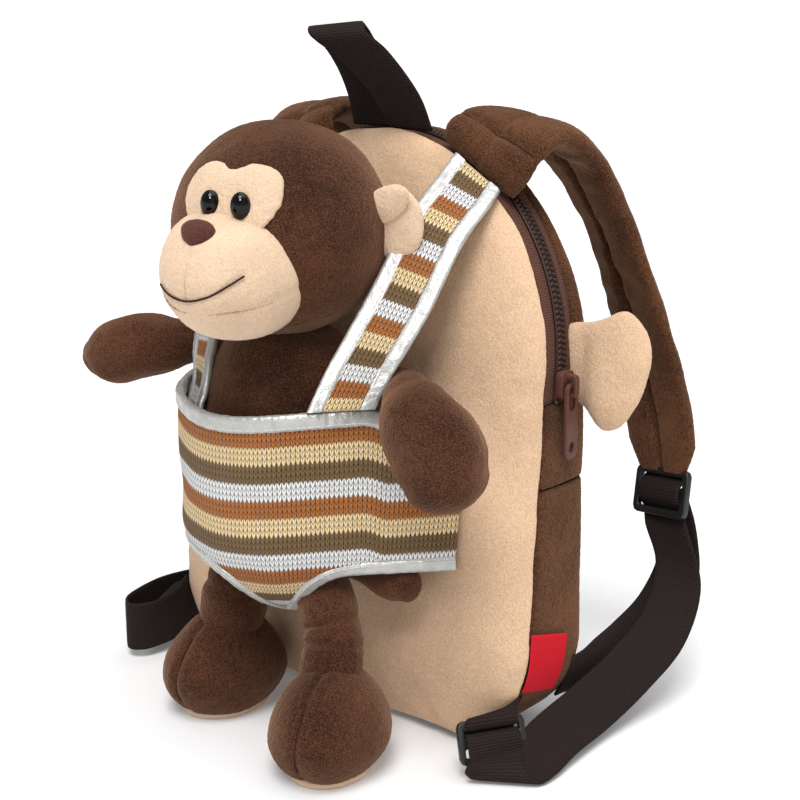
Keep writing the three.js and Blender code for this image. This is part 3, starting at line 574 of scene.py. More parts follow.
def panelPoints(spec, placeY, turn):
    around = np.linspace(0, 1, spec["around"] + 1)
    x, z, outX, outZ = outlineAt(around)
    x = x - outX * spec["inset"]
    z = np.maximum(z - outZ * spec["inset"], spec["hem"])
    rings = []

    def ring(share, lift, pucker):
        px = mixed(bag["middle"][0], x, share)
        pz = mixed(bag["middle"][1], z, share)
        gather = pucker * np.array([noise.noise(Vector((a, b, 3.0)) / 7.0) for a, b in zip(px, pz)])
        rings.append(np.stack([px, placeY(pz) + turn * (lift + gather), pz], axis=-1))

    for k in range(spec["rings"] + 1):
        share = panelEdge["share"] * math.sin(k / spec["rings"] * math.pi / 2)
        offSeam = (share - panelEdge["puckerAt"]) / panelEdge["puckerWide"]
        ring(share, panelRise(share, spec["bulge"]), spec["pucker"] * math.exp(-(offSeam**2)))
    for share in panelEdge["lining"]:
        inside = panelRise(share + 0.02, spec["bulge"]) - spec["wall"]
        ring(share, inside if share < panelEdge["puckerAt"] else -0.3, 0.0)
    return np.array(rings)


bm = skin(panelPoints(frontPanel, seamY, -1))
ruffle(bm, *frontPanel["ruffles"])
padPiece("front_panel_plush", bm, creamPlush, ["front_panel"], levels=0)
bm = skin(panelPoints(backPanel, lambda z: seamY(z) + depthAt(z), 1))
ruffle(bm, *backPanel["ruffles"])
padPiece("back_panel_plush", bm, brownPlush, ["back_panel"], levels=0)

gusset = {
    "wall": 2.5,
    "roll": 12.1,
    "rollFrom": 0.74,
    "rollTo": 1.1,
    "dip": 1.5,
    "dipRun": 1.5,
    "endDip": 0.5,
    "endRun": 1.6,
    "belly": 0.9,
    "seamHeight": 118.0,
    "seamShare": 0.0002,
    "standing": 0.3,
    "ruffle": (24.0, 0.7, 4.0),
    "bottomGrid": (150, 18),
    "sideGrid": (16, 18),
    "upperGrid": (140, 9),
}
zipper = {
    "endHeight": 155.0,
    "tapeFront": (0.3, 8.4),
    "coil": (6.6, 13.2),
    "tapeBack": (11.4, 19.0),
    "plushFrom": 19.1,
    "tapeInset": 0.8,
    "tapeThick": 1.0,
    "coilInset": 0.6,
}
gussetSeam = shareAtHeight(gusset["seamHeight"])
zipEnd = shareAtHeight(zipper["endHeight"])


def gussetPoints(shareFrom, shareTo, columns, rows, behindFrom):
    share = np.linspace(shareFrom, shareTo, columns + 1)
    depth = depthAt(outlineAt(share)[1])
    found = []
    endRun = np.minimum(share - shareFrom, shareTo - share) * outlineRun[-1]
    endDip = gusset["endDip"] * np.exp(-endRun / gusset["endRun"])
    for u in np.linspace(0, 1, rows + 1):
        behind = mixed(behindFrom, depth, u)
        inset = gusset["roll"] * smoothStep(gusset["rollFrom"], gusset["rollTo"], behind / depth)
        inset = inset + gusset["dip"] * np.exp(-(behind - behindFrom) / gusset["dipRun"])
        inset = inset - gusset["belly"] * np.sin(math.pi * u) + endDip
        found.append(bagPoints(share, behind, inset))
    return np.array(found)


def faceOut(obj, points):
    centre = Vector((0.0, 0.0, 0.14))  # inside the bag, in metres
    place = Vector(points[len(points) // 2, points.shape[1] // 2]) * metres
    nearest = min(obj.data.polygons, key=lambda p: (p.center - place).length_squared)
    if nearest.normal.dot(nearest.center - centre) < 0:
        obj.data.flip_normals()


def gussetPiece(node, points):
    bm = skin(points)
    ruffle(bm, gusset["ruffle"])
    for vert in bm.verts:
        vert.co.z = max(vert.co.z, gusset["standing"])
    obj = addPiece(node + "_plush", bm, brownPlush, [node])
    faceOut(obj, points)
    thicken(obj, gusset["wall"], -1.0)
    refine(obj)
    fuzz(obj)


rightShares = (gussetSeam + gusset["seamShare"], zipEnd - gusset["seamShare"])
leftShares = (1 - rightShares[1], 1 - rightShares[0])
gussetPiece("gusset_bottom", gussetPoints(-gussetSeam, gussetSeam, *gusset["bottomGrid"], gap))
gussetPiece("gusset_side_right", gussetPoints(*rightShares, *gusset["sideGrid"], gap))
gussetPiece("gusset_side_left", gussetPoints(*leftShares, *gusset["sideGrid"], gap))
upperPoints = gussetPoints(zipEnd, 1 - zipEnd, *gusset["upperGrid"], zipper["plushFrom"])
gussetPiece("gusset_upper", upperPoints)
print("bag panels made")


def bandPoints(shareFrom, shareTo, columns, rows, edges, inset):
    share = np.linspace(shareFrom, shareTo, columns + 1)
    along = share * outlineRun[-1]
    places = []
    cloth = []
    for u in np.linspace(0, 1, rows + 1):
        behind = mixed(*edges, u)
        places.append(bagPoints(share, behind, inset))
        cloth.append(np.stack([along, np.full_like(along, behind)], axis=-1))
    return np.array(places), np.array(cloth)


for side in ("Front", "Back"):
    places, cloth = bandPoints(zipEnd, 1 - zipEnd, 150, 4, zipper["tape" + side], zipper["tapeInset"])
    name = "zip_tape_" + side.lower()
    obj = addPiece(name + "_cloth", skin(places, cloth), zipCloth, [name])
    faceOut(obj, places)
    thicken(obj, zipper["tapeThick"], -1.0)

coil = {"pitch": 2.4, "long": 3.7, "thick": 1.1, "lean": 0.6, "core": 1.35, "apart": 0.46, "proud": 0.2}
bm = skin(bandPoints(zipEnd, 1 - zipEnd, 150, 3, zipper["coil"], zipper["coilInset"])[0])
bmesh.ops.solidify(bm, geom=bm.faces, thickness=-1.0)
coilMiddle = sum(zipper["coil"]) / 2
back = Vector((0.0, 1.0, 0.0))
for share in np.arange(zipEnd + 0.001, 1 - zipEnd, coil["pitch"] / outlineRun[-1]):
    outX, outZ = (float(v) for v in outlineAt(share)[2:])
    tangent = Vector((-outZ, 0.0, outX))
    outward = Vector((outX, 0.0, outZ))
    for turn in (-1, 1):
        behind = coilMiddle + turn * coil["long"] * coil["apart"]
        centre = Vector(bagPoints(share, behind, -coil["proud"]).tolist())
        centre += tangent * (turn * coil["pitch"] / 4)
        lean = (back * turn - tangent * coil["lean"]).normalized()
        cross = outward.cross(lean)
        axes = [lean * (coil["long"] / 2), cross * coil["thick"], outward * coil["core"], centre]
        tooth = Matrix([[axis[r] for axis in axes] for r in range(3)] + [[0, 0, 0, 1]])
        bmesh.ops.create_uvsphere(bm, u_segments=6, v_segments=5, radius=1.0, matrix=tooth)
bmesh.ops.recalc_face_normals(bm, faces=bm.faces)
addPiece("zip_coil_teeth", bm, coilNylon, ["zip_coil"])


hardEdge = {"weld": 0.02, "flat": 0.02, "sharp": 0.6, "slider": 0.4, "pull": 0.35, "plate": 0.6}


def cadNode(node):
    return next(o for o in scene.objects if o.get("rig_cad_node") == node)


def bevelledNode(name, node, material, width, body="bag"):
    bm = bmesh.new()
    bm.from_mesh(cadNode(node).data)
    bmesh.ops.scale(bm, vec=(1000, 1000, 1000), verts=bm.verts)
    bmesh.ops.remove_doubles(bm, verts=bm.verts, dist=hardEdge["weld"])
    bmesh.ops.dissolve_limit(bm, angle_limit=hardEdge["flat"], verts=bm.verts, edges=bm.edges)
    sharp = [e for e in bm.edges if len(e.link_faces) == 2 and e.calc_face_angle() > hardEdge["sharp"]]
    bmesh.ops.bevel(
        bm,
        geom=sharp,
        offset=width,
        offset_type="OFFSET",
        affect="EDGES",
        segments=3,
        profile=0.5,
        material=-1,
    )
    addPiece(name, bm, material, [node], body)


bevelledNode("zip_slider_body", "zip_slider", enamel, hardEdge["slider"])
bevelledNode("zip_pull_tab", "zip_pull", enamel, hardEdge["pull"], "zip_pull")
for side in ("right", "left"):
    for plate in ("strap_slider_", "tri_glide_"):
        width = hardEdge["plate"]
        bevelledNode(plate + "frame_" + side, plate + side, blackPlastic, width)
print("zip and frames made")


ribbonFace = [  # one face from edge to edge, in halves of the width and the thickness
    (-1.0, 0.0), (-0.97, 0.8), (-0.8, 1.0), (-0.4, 1.0), (0.0, 1.0), (0.4, 1.0), (0.8, 1.0), (0.97, 0.8),
]


def ribbonPoints(rows, count, width, thick):
    at = spline([row[0] for row in rows], count)
    across = spline([row[1] for row in rows], count)
    out = unit(np.cross(across, np.gradient(at, axis=0)))
    run = lengths(at)
    places = []
    cloth = []
    for u, v in ribbonFace + [(-u, -v) for u, v in ribbonFace] + ribbonFace[:1]:
        places.append(at + across * (u * width / 2) + out * (v * thick / 2))
        cloth.append(np.stack([run, np.full_like(run, u * width / 2)], axis=-1))
    return np.array(places), np.array(cloth), run[-1]


def ribbonPiece(name, rows, count, width, thick, node, flip=False):
    places, cloth, long = ribbonPoints(rows, count, width, thick)
    bm = skin(places, cloth)
    closeEnds(bm, 40)
    if flip:
        mirrorX(bm)
    obj = addPiece(name, bm, strapWebbing, [node])
    width * metres


grabLoop = {
    "width": 25.0,
    "thick": 1.6,
    "rows": [
        ((13, 6.2, 264.9), (1, 0, 0)),
        ((11, -2, 280), (0.97, 0.2, 0)),
        ((4, -17, 299), (0.88, 0.42, 0.08)),
        ((-2, -25.5, 307.5), (0.85, 0.5, 0.1)),
        ((-6, -23, 311), (0.85, 0.5, 0.1)),
        ((-9, -15, 307), (0.86, 0.48, 0.1)),
        ((-11, -2, 294), (0.92, 0.35, 0.05)),
        ((-13, 6.8, 279), (0.98, 0.15, 0)),
        ((-13, 9.5, 264.9), (1, 0, 0)),
    ],
}
ribbonPiece("grab_loop_webbing", grabLoop["rows"], 90, grabLoop["width"], grabLoop["thick"], "grab_loop")


def plateFrame(centre, along, upward):
    x = Vector(along).normalized()
    front = x.cross(Vector(upward)).normalized()
    up = front.cross(x)
    return lambda height, out: tuple(Vector(centre) + up * height + front * out)


sliderAlong = (0.98, -0.15, 0.1)
glideAlong = (0.485, 0.875, 0)
onSlider = plateFrame((105.5, 82, 94.5), sliderAlong, (-0.15, 0.25, 0.95))
onGlide = plateFrame((107, -48.5, 15), glideAlong, (-0.3, 0.165, 0.94))
webbing = {
    "width": 25.0,
    "tailWidth": 24.0,
    "thick": 1.6,
    "shared": 11,  # rows that both sides have, before the left one folds forward on its edge
    "rows": [
        (onSlider(8.5, -2.6), sliderAlong),
        (onSlider(5.6, -0.2), sliderAlong),
        (onSlider(2.6, 2.5), sliderAlong),
        (onSlider(-2.6, 2.5), sliderAlong),
        (onSlider(-5.6, -0.2), sliderAlong),
        (onSlider(-9.0, -2.8), sliderAlong),
        ((110.5, 79.5, 78), (0.97, 0, 0)),
        ((119.5, 77, 58), (0.9, 0.2, -0.35)),
        ((124, 60, 38), (0.72, 0.3, -0.62)),
        ((123, 32, 24), (0.63, 0.31, -0.7)),
        ((121, 4, 15), (0.63, 0.31, -0.7)),
        ((122, -24, 11.5), (0.7, 0.4, -0.55)),
        ((122, -43, 5.5), (0.85, 0.5, -0.25)),
        ((119.5, -53, 1.7), (0.95, 0.6, 0)),
        ((117, -56.5, 4.5), (0.9, 0.66, 0)),
        ((114.0, -55.0, 8.2), (0.6, 0.79, 0)),
        (onGlide(-7.0, 3.2), glideAlong),
        (onGlide(-1.0, 3.1), glideAlong),
        (onGlide(1.9, 2.6), glideAlong),
        (onGlide(3.2, 0.2), glideAlong),
        (onGlide(2.4, -2.8), glideAlong),
    ],
    "leftLoop": [
        ((121.5, -20, 16), (0.3, 0.1, -0.95)),
        ((119.5, -42, 16.5), (0.05, 0, -1)),
        ((115, -60, 16.5), (0, 0, -1)),
        ((109.5, -71, 16.5), (0, 0, -1)),
        ((103, -74.5, 16.5), (0, 0, -1)),
        ((97.5, -70, 16.5), (0, 0, -1)),
        ((95.3, -60, 17), (0, 0, -1)),
        ((96.5, -48, 18), (-0.1, 0, -1)),
        ((99.5, -39, 19.5), (-0.3, 0, -0.95)),
        ((101.3, -34.2, 20.5), (-0.5, -0.05, -0.86)),
    ],
    "anchor": [
        ((106, 86, 93), (0.98, -0.15, 0.1)),
        ((108, 91, 76), (0.95, 0, 0)),
        ((112, 89, 56), (0.85, 0.15, -0.35)),
        ((114, 70, 40), (0.7, 0.2, -0.6)),
        ((113, 46, 31), (0.45, 0.15, -0.85)),
        ((110.5, 24, 27.5), (0, 0.05, -1)),
        ((107.2, 11, 26.5), (-0.38, 0, -0.92)),
        ((106.4, 5, 26), (-0.42, 0, -0.906)),
    ],
    "tail": [
        ((102.8, -32.2, 20.5), (0.55, 0.1, 0.82)),
        ((103, -38.5, 22), (0.5, 0.6, 0.55)),
        ((104.6, -44.6, 25.2), (0.49, 0.82, 0.15)),
        (onGlide(9.6, 3.0), glideAlong),
        (onGlide(7.0, 2.7), glideAlong),
        (onGlide(5.5, 0.2), glideAlong),
        (onGlide(4.6, -2.6), glideAlong),
        (onGlide(0.0, -3.4), glideAlong),
    ],
}
for side, flip in bothSides:
    wide, thin = webbing["width"], webbing["thick"]
    route = webbing["rows"][: webbing["shared"]] + webbing["leftLoop"] if flip else webbing["rows"]
    ribbonPiece("webbing_" + side, route, 150, wide, thin, "strap_webbing_" + side, flip)
    ribbonPiece("anchor_" + side, webbing["anchor"], 80, wide, thin, "strap_anchor_" + side, flip)
    ribbonPiece("tail_" + side, webbing["tail"], 60, webbing["tailWidth"], thin, "strap_tail_" + side, flip)

strap = {
    "rows": [
        ((53.2, 3.8, 250.8), (0.86, 0, -0.51), 46, 4),
        ((57.5, 4.5, 257.5), (0.88, -0.02, -0.47), 50, 8),
        ((60, 13, 265), (0.93, -0.1, -0.3), 52, 11),
        ((61.5, 31, 267.5), (0.96, -0.2, -0.12), 52, 12),
        ((65, 53, 256), (0.93, -0.34, -0.08), 51, 12),
        ((71.5, 72, 230), (0.87, -0.47, -0.02), 50, 12),
        ((80, 82, 198), (0.87, -0.49, 0.05), 49, 11),
        ((89, 87, 165), (0.91, -0.4, 0.08), 47, 11),
        ((97, 88, 134), (0.96, -0.25, 0.1), 45, 10),
        ((101.5, 86.5, 117), (0.97, -0.19, 0.1), 41, 9),
        ((104.2, 84.3, 103.2), (0.98, -0.15, 0.1), 27, 5),
    ],
    "count": 126,
    "section": (1, 0.985, 0.95, 0.89, 0.81, 0.71, 0.6, 0.48, 0.36, 0.25, 0.16, 0.09, 0.04),
    "crease": 0.3,
    "underCrease": 0.9,
    "creaseWide": 0.11,
    "wrinkle": 2.0,
    "bunched": ((40.0, 62.0), (150.0, 185.0)),  # where the wrinkles begin and end, at the bend
    "seam": {"at": 17.0, "deep": 2.4, "wide": 2.0},
    "thread": 0.4,
    "ruffle": (18.0, 0.6, 6.0),
    "fill": 0.5,
}


def strapPoints():
    at = spline([row[0] for row in strap["rows"]], strap["count"])
    across = spline([row[1] for row in strap["rows"]], strap["count"])
    place = np.linspace(0, len(strap["rows"]) - 1, strap["count"])
    known = np.arange(len(strap["rows"]))
    half = np.interp(place, known, [row[2] for row in strap["rows"]]) / 2
    puff = np.interp(place, known, [row[3] for row in strap["rows"]]) / 2
    out = unit(np.cross(across, np.gradient(at, axis=0)))
    run = lengths(at)
    begin, end = strap["bunched"]
    fold = smoothStep(*begin, run) * (1 - smoothStep(*end, run))
    seam = strap["seam"]
    sewn = seam["deep"] * np.exp(-(((run - seam["at"]) / seam["wide"]) ** 2))
    rings = []
    upper = [*strap["section"], 0.0, *(-u for u in reversed(strap["section"]))]
    for u, turn in [(u, 1) for u in upper] + [(-u, -1) for u in upper[1:]]:
        s = turn * math.sqrt(1 - abs(u) ** 3.6)
        v = math.copysign(abs(s) ** 0.75, s)
        deep = strap["underCrease"] if s < 0 else strap["crease"]
        rise = v * (1 - deep * math.exp(-((u / strap["creaseWide"]) ** 2)))
        under = 1.0 if s < 0 else 0.3
        ridge = np.array([noise.noise(Vector((u * 0.8, r / 8.5, 4.0 + under))) for r in run])
        lift = puff * rise + fold * under * strap["wrinkle"] * ridge * abs(s) - v * sewn
        rings.append(at + across * (u * half)[:, None] + out * lift[:, None])
    return np.array(rings), int(np.argmin(np.abs(run - seam["at"])))


for side, flip in bothSides:
    points, seamRow = strapPoints()
    upper = points[3 : 2 * len(strap["section"]) - 2, seamRow]
    bm = bmesh.new()
    for here, ahead in zip(upper, upper[1:]):
        dash = np.array([mixed(here, ahead, t) for t in (0.1, 0.5, 0.8)])
        threadTube(bm, dash, strap["thread"], 5)
    if flip:
        mirrorX(bm)
    addPiece("shoulder_strap_stitches_" + side, bm, mouthThread)
    bm = skin(points)
    closeEnds(bm, 100)
    ruffle(bm, strap["ruffle"])
    if flip:
        mirrorX(bm)
    node = "shoulder_strap_" + side
    padPiece("shoulder_strap_pad_" + side, bm, brownPlush, [node])
print("straps made")

bagEar = {
    "base": (99.0, 13.0, 167.0),
    "halfThick": 5.0,
    "outline": [
        (-4, -11), (9, -17), (18, -25), (26, -23), (34, -9), (38, 7),
        (36, 20), (28, 28), (15, 23), (-4, 17), (-6, 4),
    ],
    "middle": (17.0, 3.0),
    "pinch": (0.35, 8.0, 5.0),  # share, place and width of the gather at its root
    "curl": (0.05, 14.0, 1.4),  # share, start and power of its bend to the back
    "around": 150,
    "rings": 26,
    "ruffle": (13.0, 0.8, 9.0),
    "fill": 0.4,
}


def bagEarSkin():
    corners = [(*corner, 0.0) for corner in bagEar["outline"] + bagEar["outline"][:1]]
    loop = spline(corners, bagEar["around"] + 1)[:, :2]
    run = lengths(loop)
    even = np.linspace(0, run[-1], bagEar["around"] + 1)
    loop = np.stack([np.interp(even, run, loop[:, k]) for k in (0, 1)], axis=-1)
    baseX, baseY, baseZ = bagEar["base"]
    pinch, pinchAt, pinchWide = bagEar["pinch"]
    curl, curlFrom, curlPower = bagEar["curl"]
    middle = np.array(bagEar["middle"])
    rings = []
    shares = [math.sin(k / bagEar["rings"] * math.pi / 2) for k in range(bagEar["rings"] + 1)]
    for turn, order in ((-1, shares), (1, shares[-2::-1])):
        for share in order:
            x, z = (middle + (loop - middle) * share).T
            gathered = 1 - pinch * np.exp(-(((x - pinchAt) / pinchWide) ** 2))
            lift = turn * bagEar["halfThick"] * (1 - share**4) ** 0.55 * gathered
            bent = curl * np.maximum(x - curlFrom, 0) ** curlPower
            rings.append(np.stack([baseX + x, baseY + lift + bent, baseZ + z], axis=-1))
    return skin(np.array(rings))


for side, flip in bothSides:
    bm = bagEarSkin()
    ruffle(bm, bagEar["ruffle"])
    if flip:
        mirrorX(bm)
    node = "bag_ear_" + side
    padPiece("bag_ear_plush_" + side, bm, creamPlush, [node], levels=0)

label = {
    "low": 31.0,
    "high": 57.0,
    "long": 24.0,
    "thick": 0.9,
    "sewnIn": 0.6,
    "lift": 1.6,
    "ripple": 0.25,
    "droop": 6.0,
    "columns": 24,
    "rows": 21,
}
seamShares = np.linspace(shareAtHeight(label["low"]), shareAtHeight(label["high"]), label["columns"] + 1)
outward = np.linspace(0, 1, label["rows"] + 1)
rows = []
for u in outward:
    lift = gap + label["lift"] * u**1.5 + label["ripple"] * math.sin(u * 5) * u
    fallen = seamShares - label["droop"] * u / outlineRun[-1]
    rows.append(bagPoints(fallen, mixed(-label["sewnIn"], label["long"], u), -lift - label["thick"]))
tag = np.array(rows)
half = (label["high"] - label["low"]) / 2
tagWide = np.linspace(-half, half, label["columns"] + 1)
cloth = np.stack(np.meshgrid(outward * label["long"], tagWide, indexing="ij"), axis=-1)
obj = addPiece("seam_label_tag", skin(tag, cloth), redTape, ["seam_label"])
faceOut(obj, tag)
thicken(obj, label["thick"], 0.0)
refine(obj)
print("ears and label made")

head = {
    "place": (0.0, -64.0, 227.0),
    "yaw": math.radians(14.5),
    "radii": (47.5, 46.5, 46.5),
    "cuts": 31,
    "ruffles": ((26.0, 1.0, 1.0), (9.0, 0.35, 3.0)),
    "fill": 0.9,
}
headTurn = Matrix.Translation(head["place"]) @ Matrix.Rotation(head["yaw"], 4, "Z")


def onHead(bm):
    bmesh.ops.transform(bm, matrix=headTurn, verts=bm.verts)
    return bm


def ball(place, radii, cuts=20):
    bm = bmesh.new()
    bmesh.ops.create_cube(bm, size=2.0)
    bmesh.ops.subdivide_edges(bm, edges=bm.edges, cuts=cuts, use_grid_fill=True)
    for vert in bm.verts:
        vert.co = Vector([math.tan(c * 0.7) for c in vert.co]).normalized()
    form = Matrix.Translation(place) @ Matrix.Diagonal((*radii, 1.0))
    bmesh.ops.transform(bm, matrix=form, verts=bm.verts)
    return bm


bm = ball((0, 0, 0), head["radii"], head["cuts"])
ruffle(bm, *head["ruffles"])
padPiece("toy_head_plush", onHead(bm), toyPlush, ["toy_head"])

facePatch = {
    "middle": (0.0, 10.0),
    "lobe": (10.0, 18.5, 12.9),  # its middle across and up, and its radius
    "cheek": (17.0, -8.0, 14.0),  # half the width, lower and upper edge
    "notch": (6.5, 28.6),  # half the width and the height between the lobes
    "thick": 1.5,
    "ragged": 0.5,
    "tuckedIn": 0.5,
    "around": 220,
    "rings": 40,
    "smoothings": 8,
    "ruffle": (12.0, 0.3, 2.0),
    "pile": 0.5,
    "cut": (0.049, 0.045),
    "cutArea": 0.00184,
}


def ovalFront(x, z, radii, lift, least=0.0):
    a, b, c = (radius + lift for radius in radii)
    return -b * np.sqrt(np.maximum(1 - (x / a) ** 2 - (z / c) ** 2, least))


def patchReach(turn):
    step = np.arange(2.0, 50.0, 0.1)
    x = facePatch["middle"][0] + step * math.cos(turn)
    z = facePatch["middle"][1] + step * math.sin(turn)
    lobeX, lobeZ, lobeRadius = facePatch["lobe"]
    inLobe = np.hypot(np.abs(x) - lobeX, z - lobeZ) < lobeRadius
    half, low, high = facePatch["cheek"]
    inCheek = (np.abs(x) < half) & (z > low) & (z < high)
    inNotch = (np.abs(x) < facePatch["notch"][0]) & (z < facePatch["notch"][1]) & (z > high)
    return step[inLobe | inCheek | inNotch].max()


def facePatchSkin():
    turns = np.linspace(0, 2 * math.pi, facePatch["around"] + 1)
    reach = np.array([patchReach(turn) for turn in turns[:-1]])
    for _ in range(facePatch["smoothings"]):
        reach = (np.roll(reach, 1) + 2 * reach + np.roll(reach, -1)) / 4
    ragged = np.array([noise.noise(Vector((turn * 9, 0.5, 0.0))) for turn in turns[:-1]])
    reach = reach + facePatch["ragged"] * ragged
    reach = np.append(reach, reach[0])
    rings = []
    for k in range(facePatch["rings"] + 1):
        share = math.sin(k / facePatch["rings"] * math.pi / 2)
        x = facePatch["middle"][0] + reach * share * np.cos(turns)
        z = facePatch["middle"][1] + reach * share * np.sin(turns)
        lift = gap + facePatch["thick"] * (1 - share**14) ** 0.5
        if k == facePatch["rings"]:
            lift -= facePatch["tuckedIn"]
        rings.append(np.stack([x, ovalFront(x, z, head["radii"], lift, 0.02), z], axis=-1))
    return skin(np.array(rings))


bm = onHead(facePatchSkin())
ruffle(bm, facePatch["ruffle"])
obj = addPiece("toy_face_patch", bm, facePlush, ["toy_face"])
fuzz(obj, facePatch["pile"])

muzzle = {
    "place": (-2.8, -30.5, -14.0),
    "radii": (31.0, 37.0, 29.0),
    "shelf": 1.8,
    "shelfAt": 0.62,
    "shelfWide": 0.24,
    "frontRun": 12.0,
    "grooveWide": 1.3,
    "cuts": 28,
    "ruffle": (17.0, 0.7, 3.0),
    "fill": 0.85,
}
seams = {  # places across and up, before the head is turned
    "smile": {
        "places": [(-22.3, -16.6), (-13.8, -19.9), (-4.9, -20.9), (5.1, -18.4), (12.6, -13.9), (17.4, -10.2)],
        "count": 70,
        "groove": 0.8,
        "thread": 0.43,
    },
    "centre": {
        "places": [(-4.4, 1.0), (-4.6, -6.0), (-4.9, -13.0), (-5.2, -20.6)],
        "count": 40,
        "groove": 0.7,
        "thread": 0.26,
    },
    "jaw": {
        "places": [
            (-30.0, -16.5), (-24.5, -22.2), (-15.0, -25.6), (-3.9, -26.4),
            (8.6, -25.8), (17.2, -24.5), (23.8, -22.0), (29.0, -17.0),
        ],
        "count": 90,
        "groove": 0.8,
        "thread": 0.26,
    },
}


def shelf(rise):
    off = (rise / muzzle["radii"][2] - muzzle["shelfAt"]) / muzzle["shelfWide"]
    return muzzle["shelf"] * np.exp(-(off**2))


def onMuzzle(seam, lift):
    x, z = spline([(*place, 0) for place in seam["places"]], seam["count"])[:, :2].T
    middleX, middleY, middleZ = muzzle["place"]
    y = ovalFront(x - middleX, z - middleZ, muzzle["radii"], lift) - shelf(z - middleZ)
    return np.stack([x, middleY + y, z], axis=-1)


bm = ball(muzzle["place"], muzzle["radii"], muzzle["cuts"])
for vert in bm.verts:
    forward = min(max((muzzle["place"][1] - vert.co.y) / muzzle["frontRun"], 0.0), 1.0)
    raised = forward * float(shelf(vert.co.z - muzzle["place"][2]))
    vert.co.y -= raised
    vert.co.z += raised * 0.5
ruffle(bm, muzzle["ruffle"])
for seam in seams.values():
    line = onMuzzle(seam, 0.0)
    bm.normal_update()
    for vert in bm.verts:
        if vert.co.y < muzzle["place"][1]:
            near = np.min(np.linalg.norm(line - np.array(vert.co), axis=1))
            vert.co -= vert.normal * seam["groove"] * math.exp(-((near / muzzle["grooveWide"]) ** 2))
padPiece("toy_muzzle_plush", onHead(bm), facePlush, ["toy_muzzle"], pile=0.5)

bm = bmesh.new()
threadTube(bm, onMuzzle(seams["smile"], 0.0), seams["smile"]["thread"])
addPiece("toy_smile", onHead(bm), mouthThread)
bm = bmesh.new()
for key in ("centre", "jaw"):
    dashes(bm, onMuzzle(seams[key], -0.45), 4, seams[key]["thread"])
addPiece("toy_muzzle_stitches", onHead(bm), seamThread)

nose = {"place": (-3.2, -59.0, 5.0), "radii": (7.2, 5.6, 6.3), "taper": 0.35, "pile": 0.35, "fill": 0.9}
bm = ball((0, 0, 0), (1, 1, 1), 12)
for vert in bm.verts:
    vert.co.x *= 1 + nose["taper"] * vert.co.z
form = Matrix.Translation(nose["place"]) @ Matrix.Diagonal((*nose["radii"], 1.0))
bmesh.ops.transform(bm, matrix=form, verts=bm.verts)
padPiece(
    "toy_nose_plush", onHead(bm), nosePlush, ["toy_nose"], pile=nose["pile"]
)

eyes = {"y": -45.0, "z": 15.5, "radii": (4.3, 4.0, 5.8), "x": {"right": 8.2, "left": -6.2}}
for side in ("right", "left"):
    bm = onHead(ball((eyes["x"][side], eyes["y"], eyes["z"]), eyes["radii"], 14))
    addPiece("toy_eye_bead_" + side, bm, eyePlastic, ["toy_eye_" + side])

toyEar = {
    "place": {"right": (50.0, 9.5, 4.0), "left": (-45.0, 18.5, 4.0)},
    "radii": (13.5, 4.2, 15.5),
    "flapFrom": (-2.0, -5.5, 8.5),
    "flapRadii": (12.5, 3.6, 7.0),
    "flapLean": (14.0, -32.0),
    "ruffle": (8.0, 0.5, 4.0),
    "fill": 0.5,
}
for side, turn in (("right", 1), ("left", -1)):
    place = Vector(toyEar["place"][side])
    bm = ball(place, toyEar["radii"], 11)
    leanX, leanY = (math.radians(angle) for angle in toyEar["flapLean"])
    lean = Matrix.Rotation(turn * leanY, 4, "Y") @ Matrix.Rotation(leanX, 4, "X")
    inX, inY, inZ = toyEar["flapFrom"]
    flap = Matrix.Translation(place + Vector((turn * inX, inY, inZ))) @ lean
    front = ball((0, 0, 0), toyEar["flapRadii"], 11)
    bmesh.ops.transform(front, matrix=flap, verts=front.verts)
    join(bm, front)
    ruffle(bm, toyEar["ruffle"])
    node = "toy_ear_" + side
    padPiece("toy_ear_plush_" + side, onHead(bm), facePlush, [node], pile=0.5)
print("toy head made")

toyBody = {
    "rows": [
        (66, 6, 4, -62),
        (70, 22, 16, -62),
        (82, 35, 28, -69.5),
        (100, 42, 33, -71),
        (122, 43, 34, -71),
        (145, 38, 31, -67),
        (165, 34, 28, -64),
        (180, 26, 22, -62),
        (186, 8, 7, -62),
    ],
    "around": 140,
    "count": 100,
    "ruffle": (20.0, 1.2, 5.0),
    "fill": 0.8,
}
levels = spline(toyBody["rows"], toyBody["count"])
angles = np.linspace(0, 2 * math.pi, toyBody["around"] + 1)
rings = [
    np.stack([wide * np.cos(angles), y + deep * np.sin(angles), np.full_like(angles, z)], axis=-1)
    for z, wide, deep, y in levels
]
low, high = rings[0].mean(axis=0), rings[-1].mean(axis=0)
rings = [np.tile(low, (len(angles), 1)), *rings, np.tile(high, (len(angles), 1))]
bm = skin(np.array(rings))
ruffle(bm, toyBody["ruffle"])
padPiece("toy_body_plush", bm, toyPlush, ["toy_body"], levels=0)


limb = {
    "tips": (6, 14),
    "tipRun": 9.0,
    "foldSlope": 2.2,
    "seamDeep": 0.7,
    "seamWide": 0.09,
    "sag": (16.0, 1.1),
    "crinkle": (6.0, 0.3),
    "fill": 0.8,
}


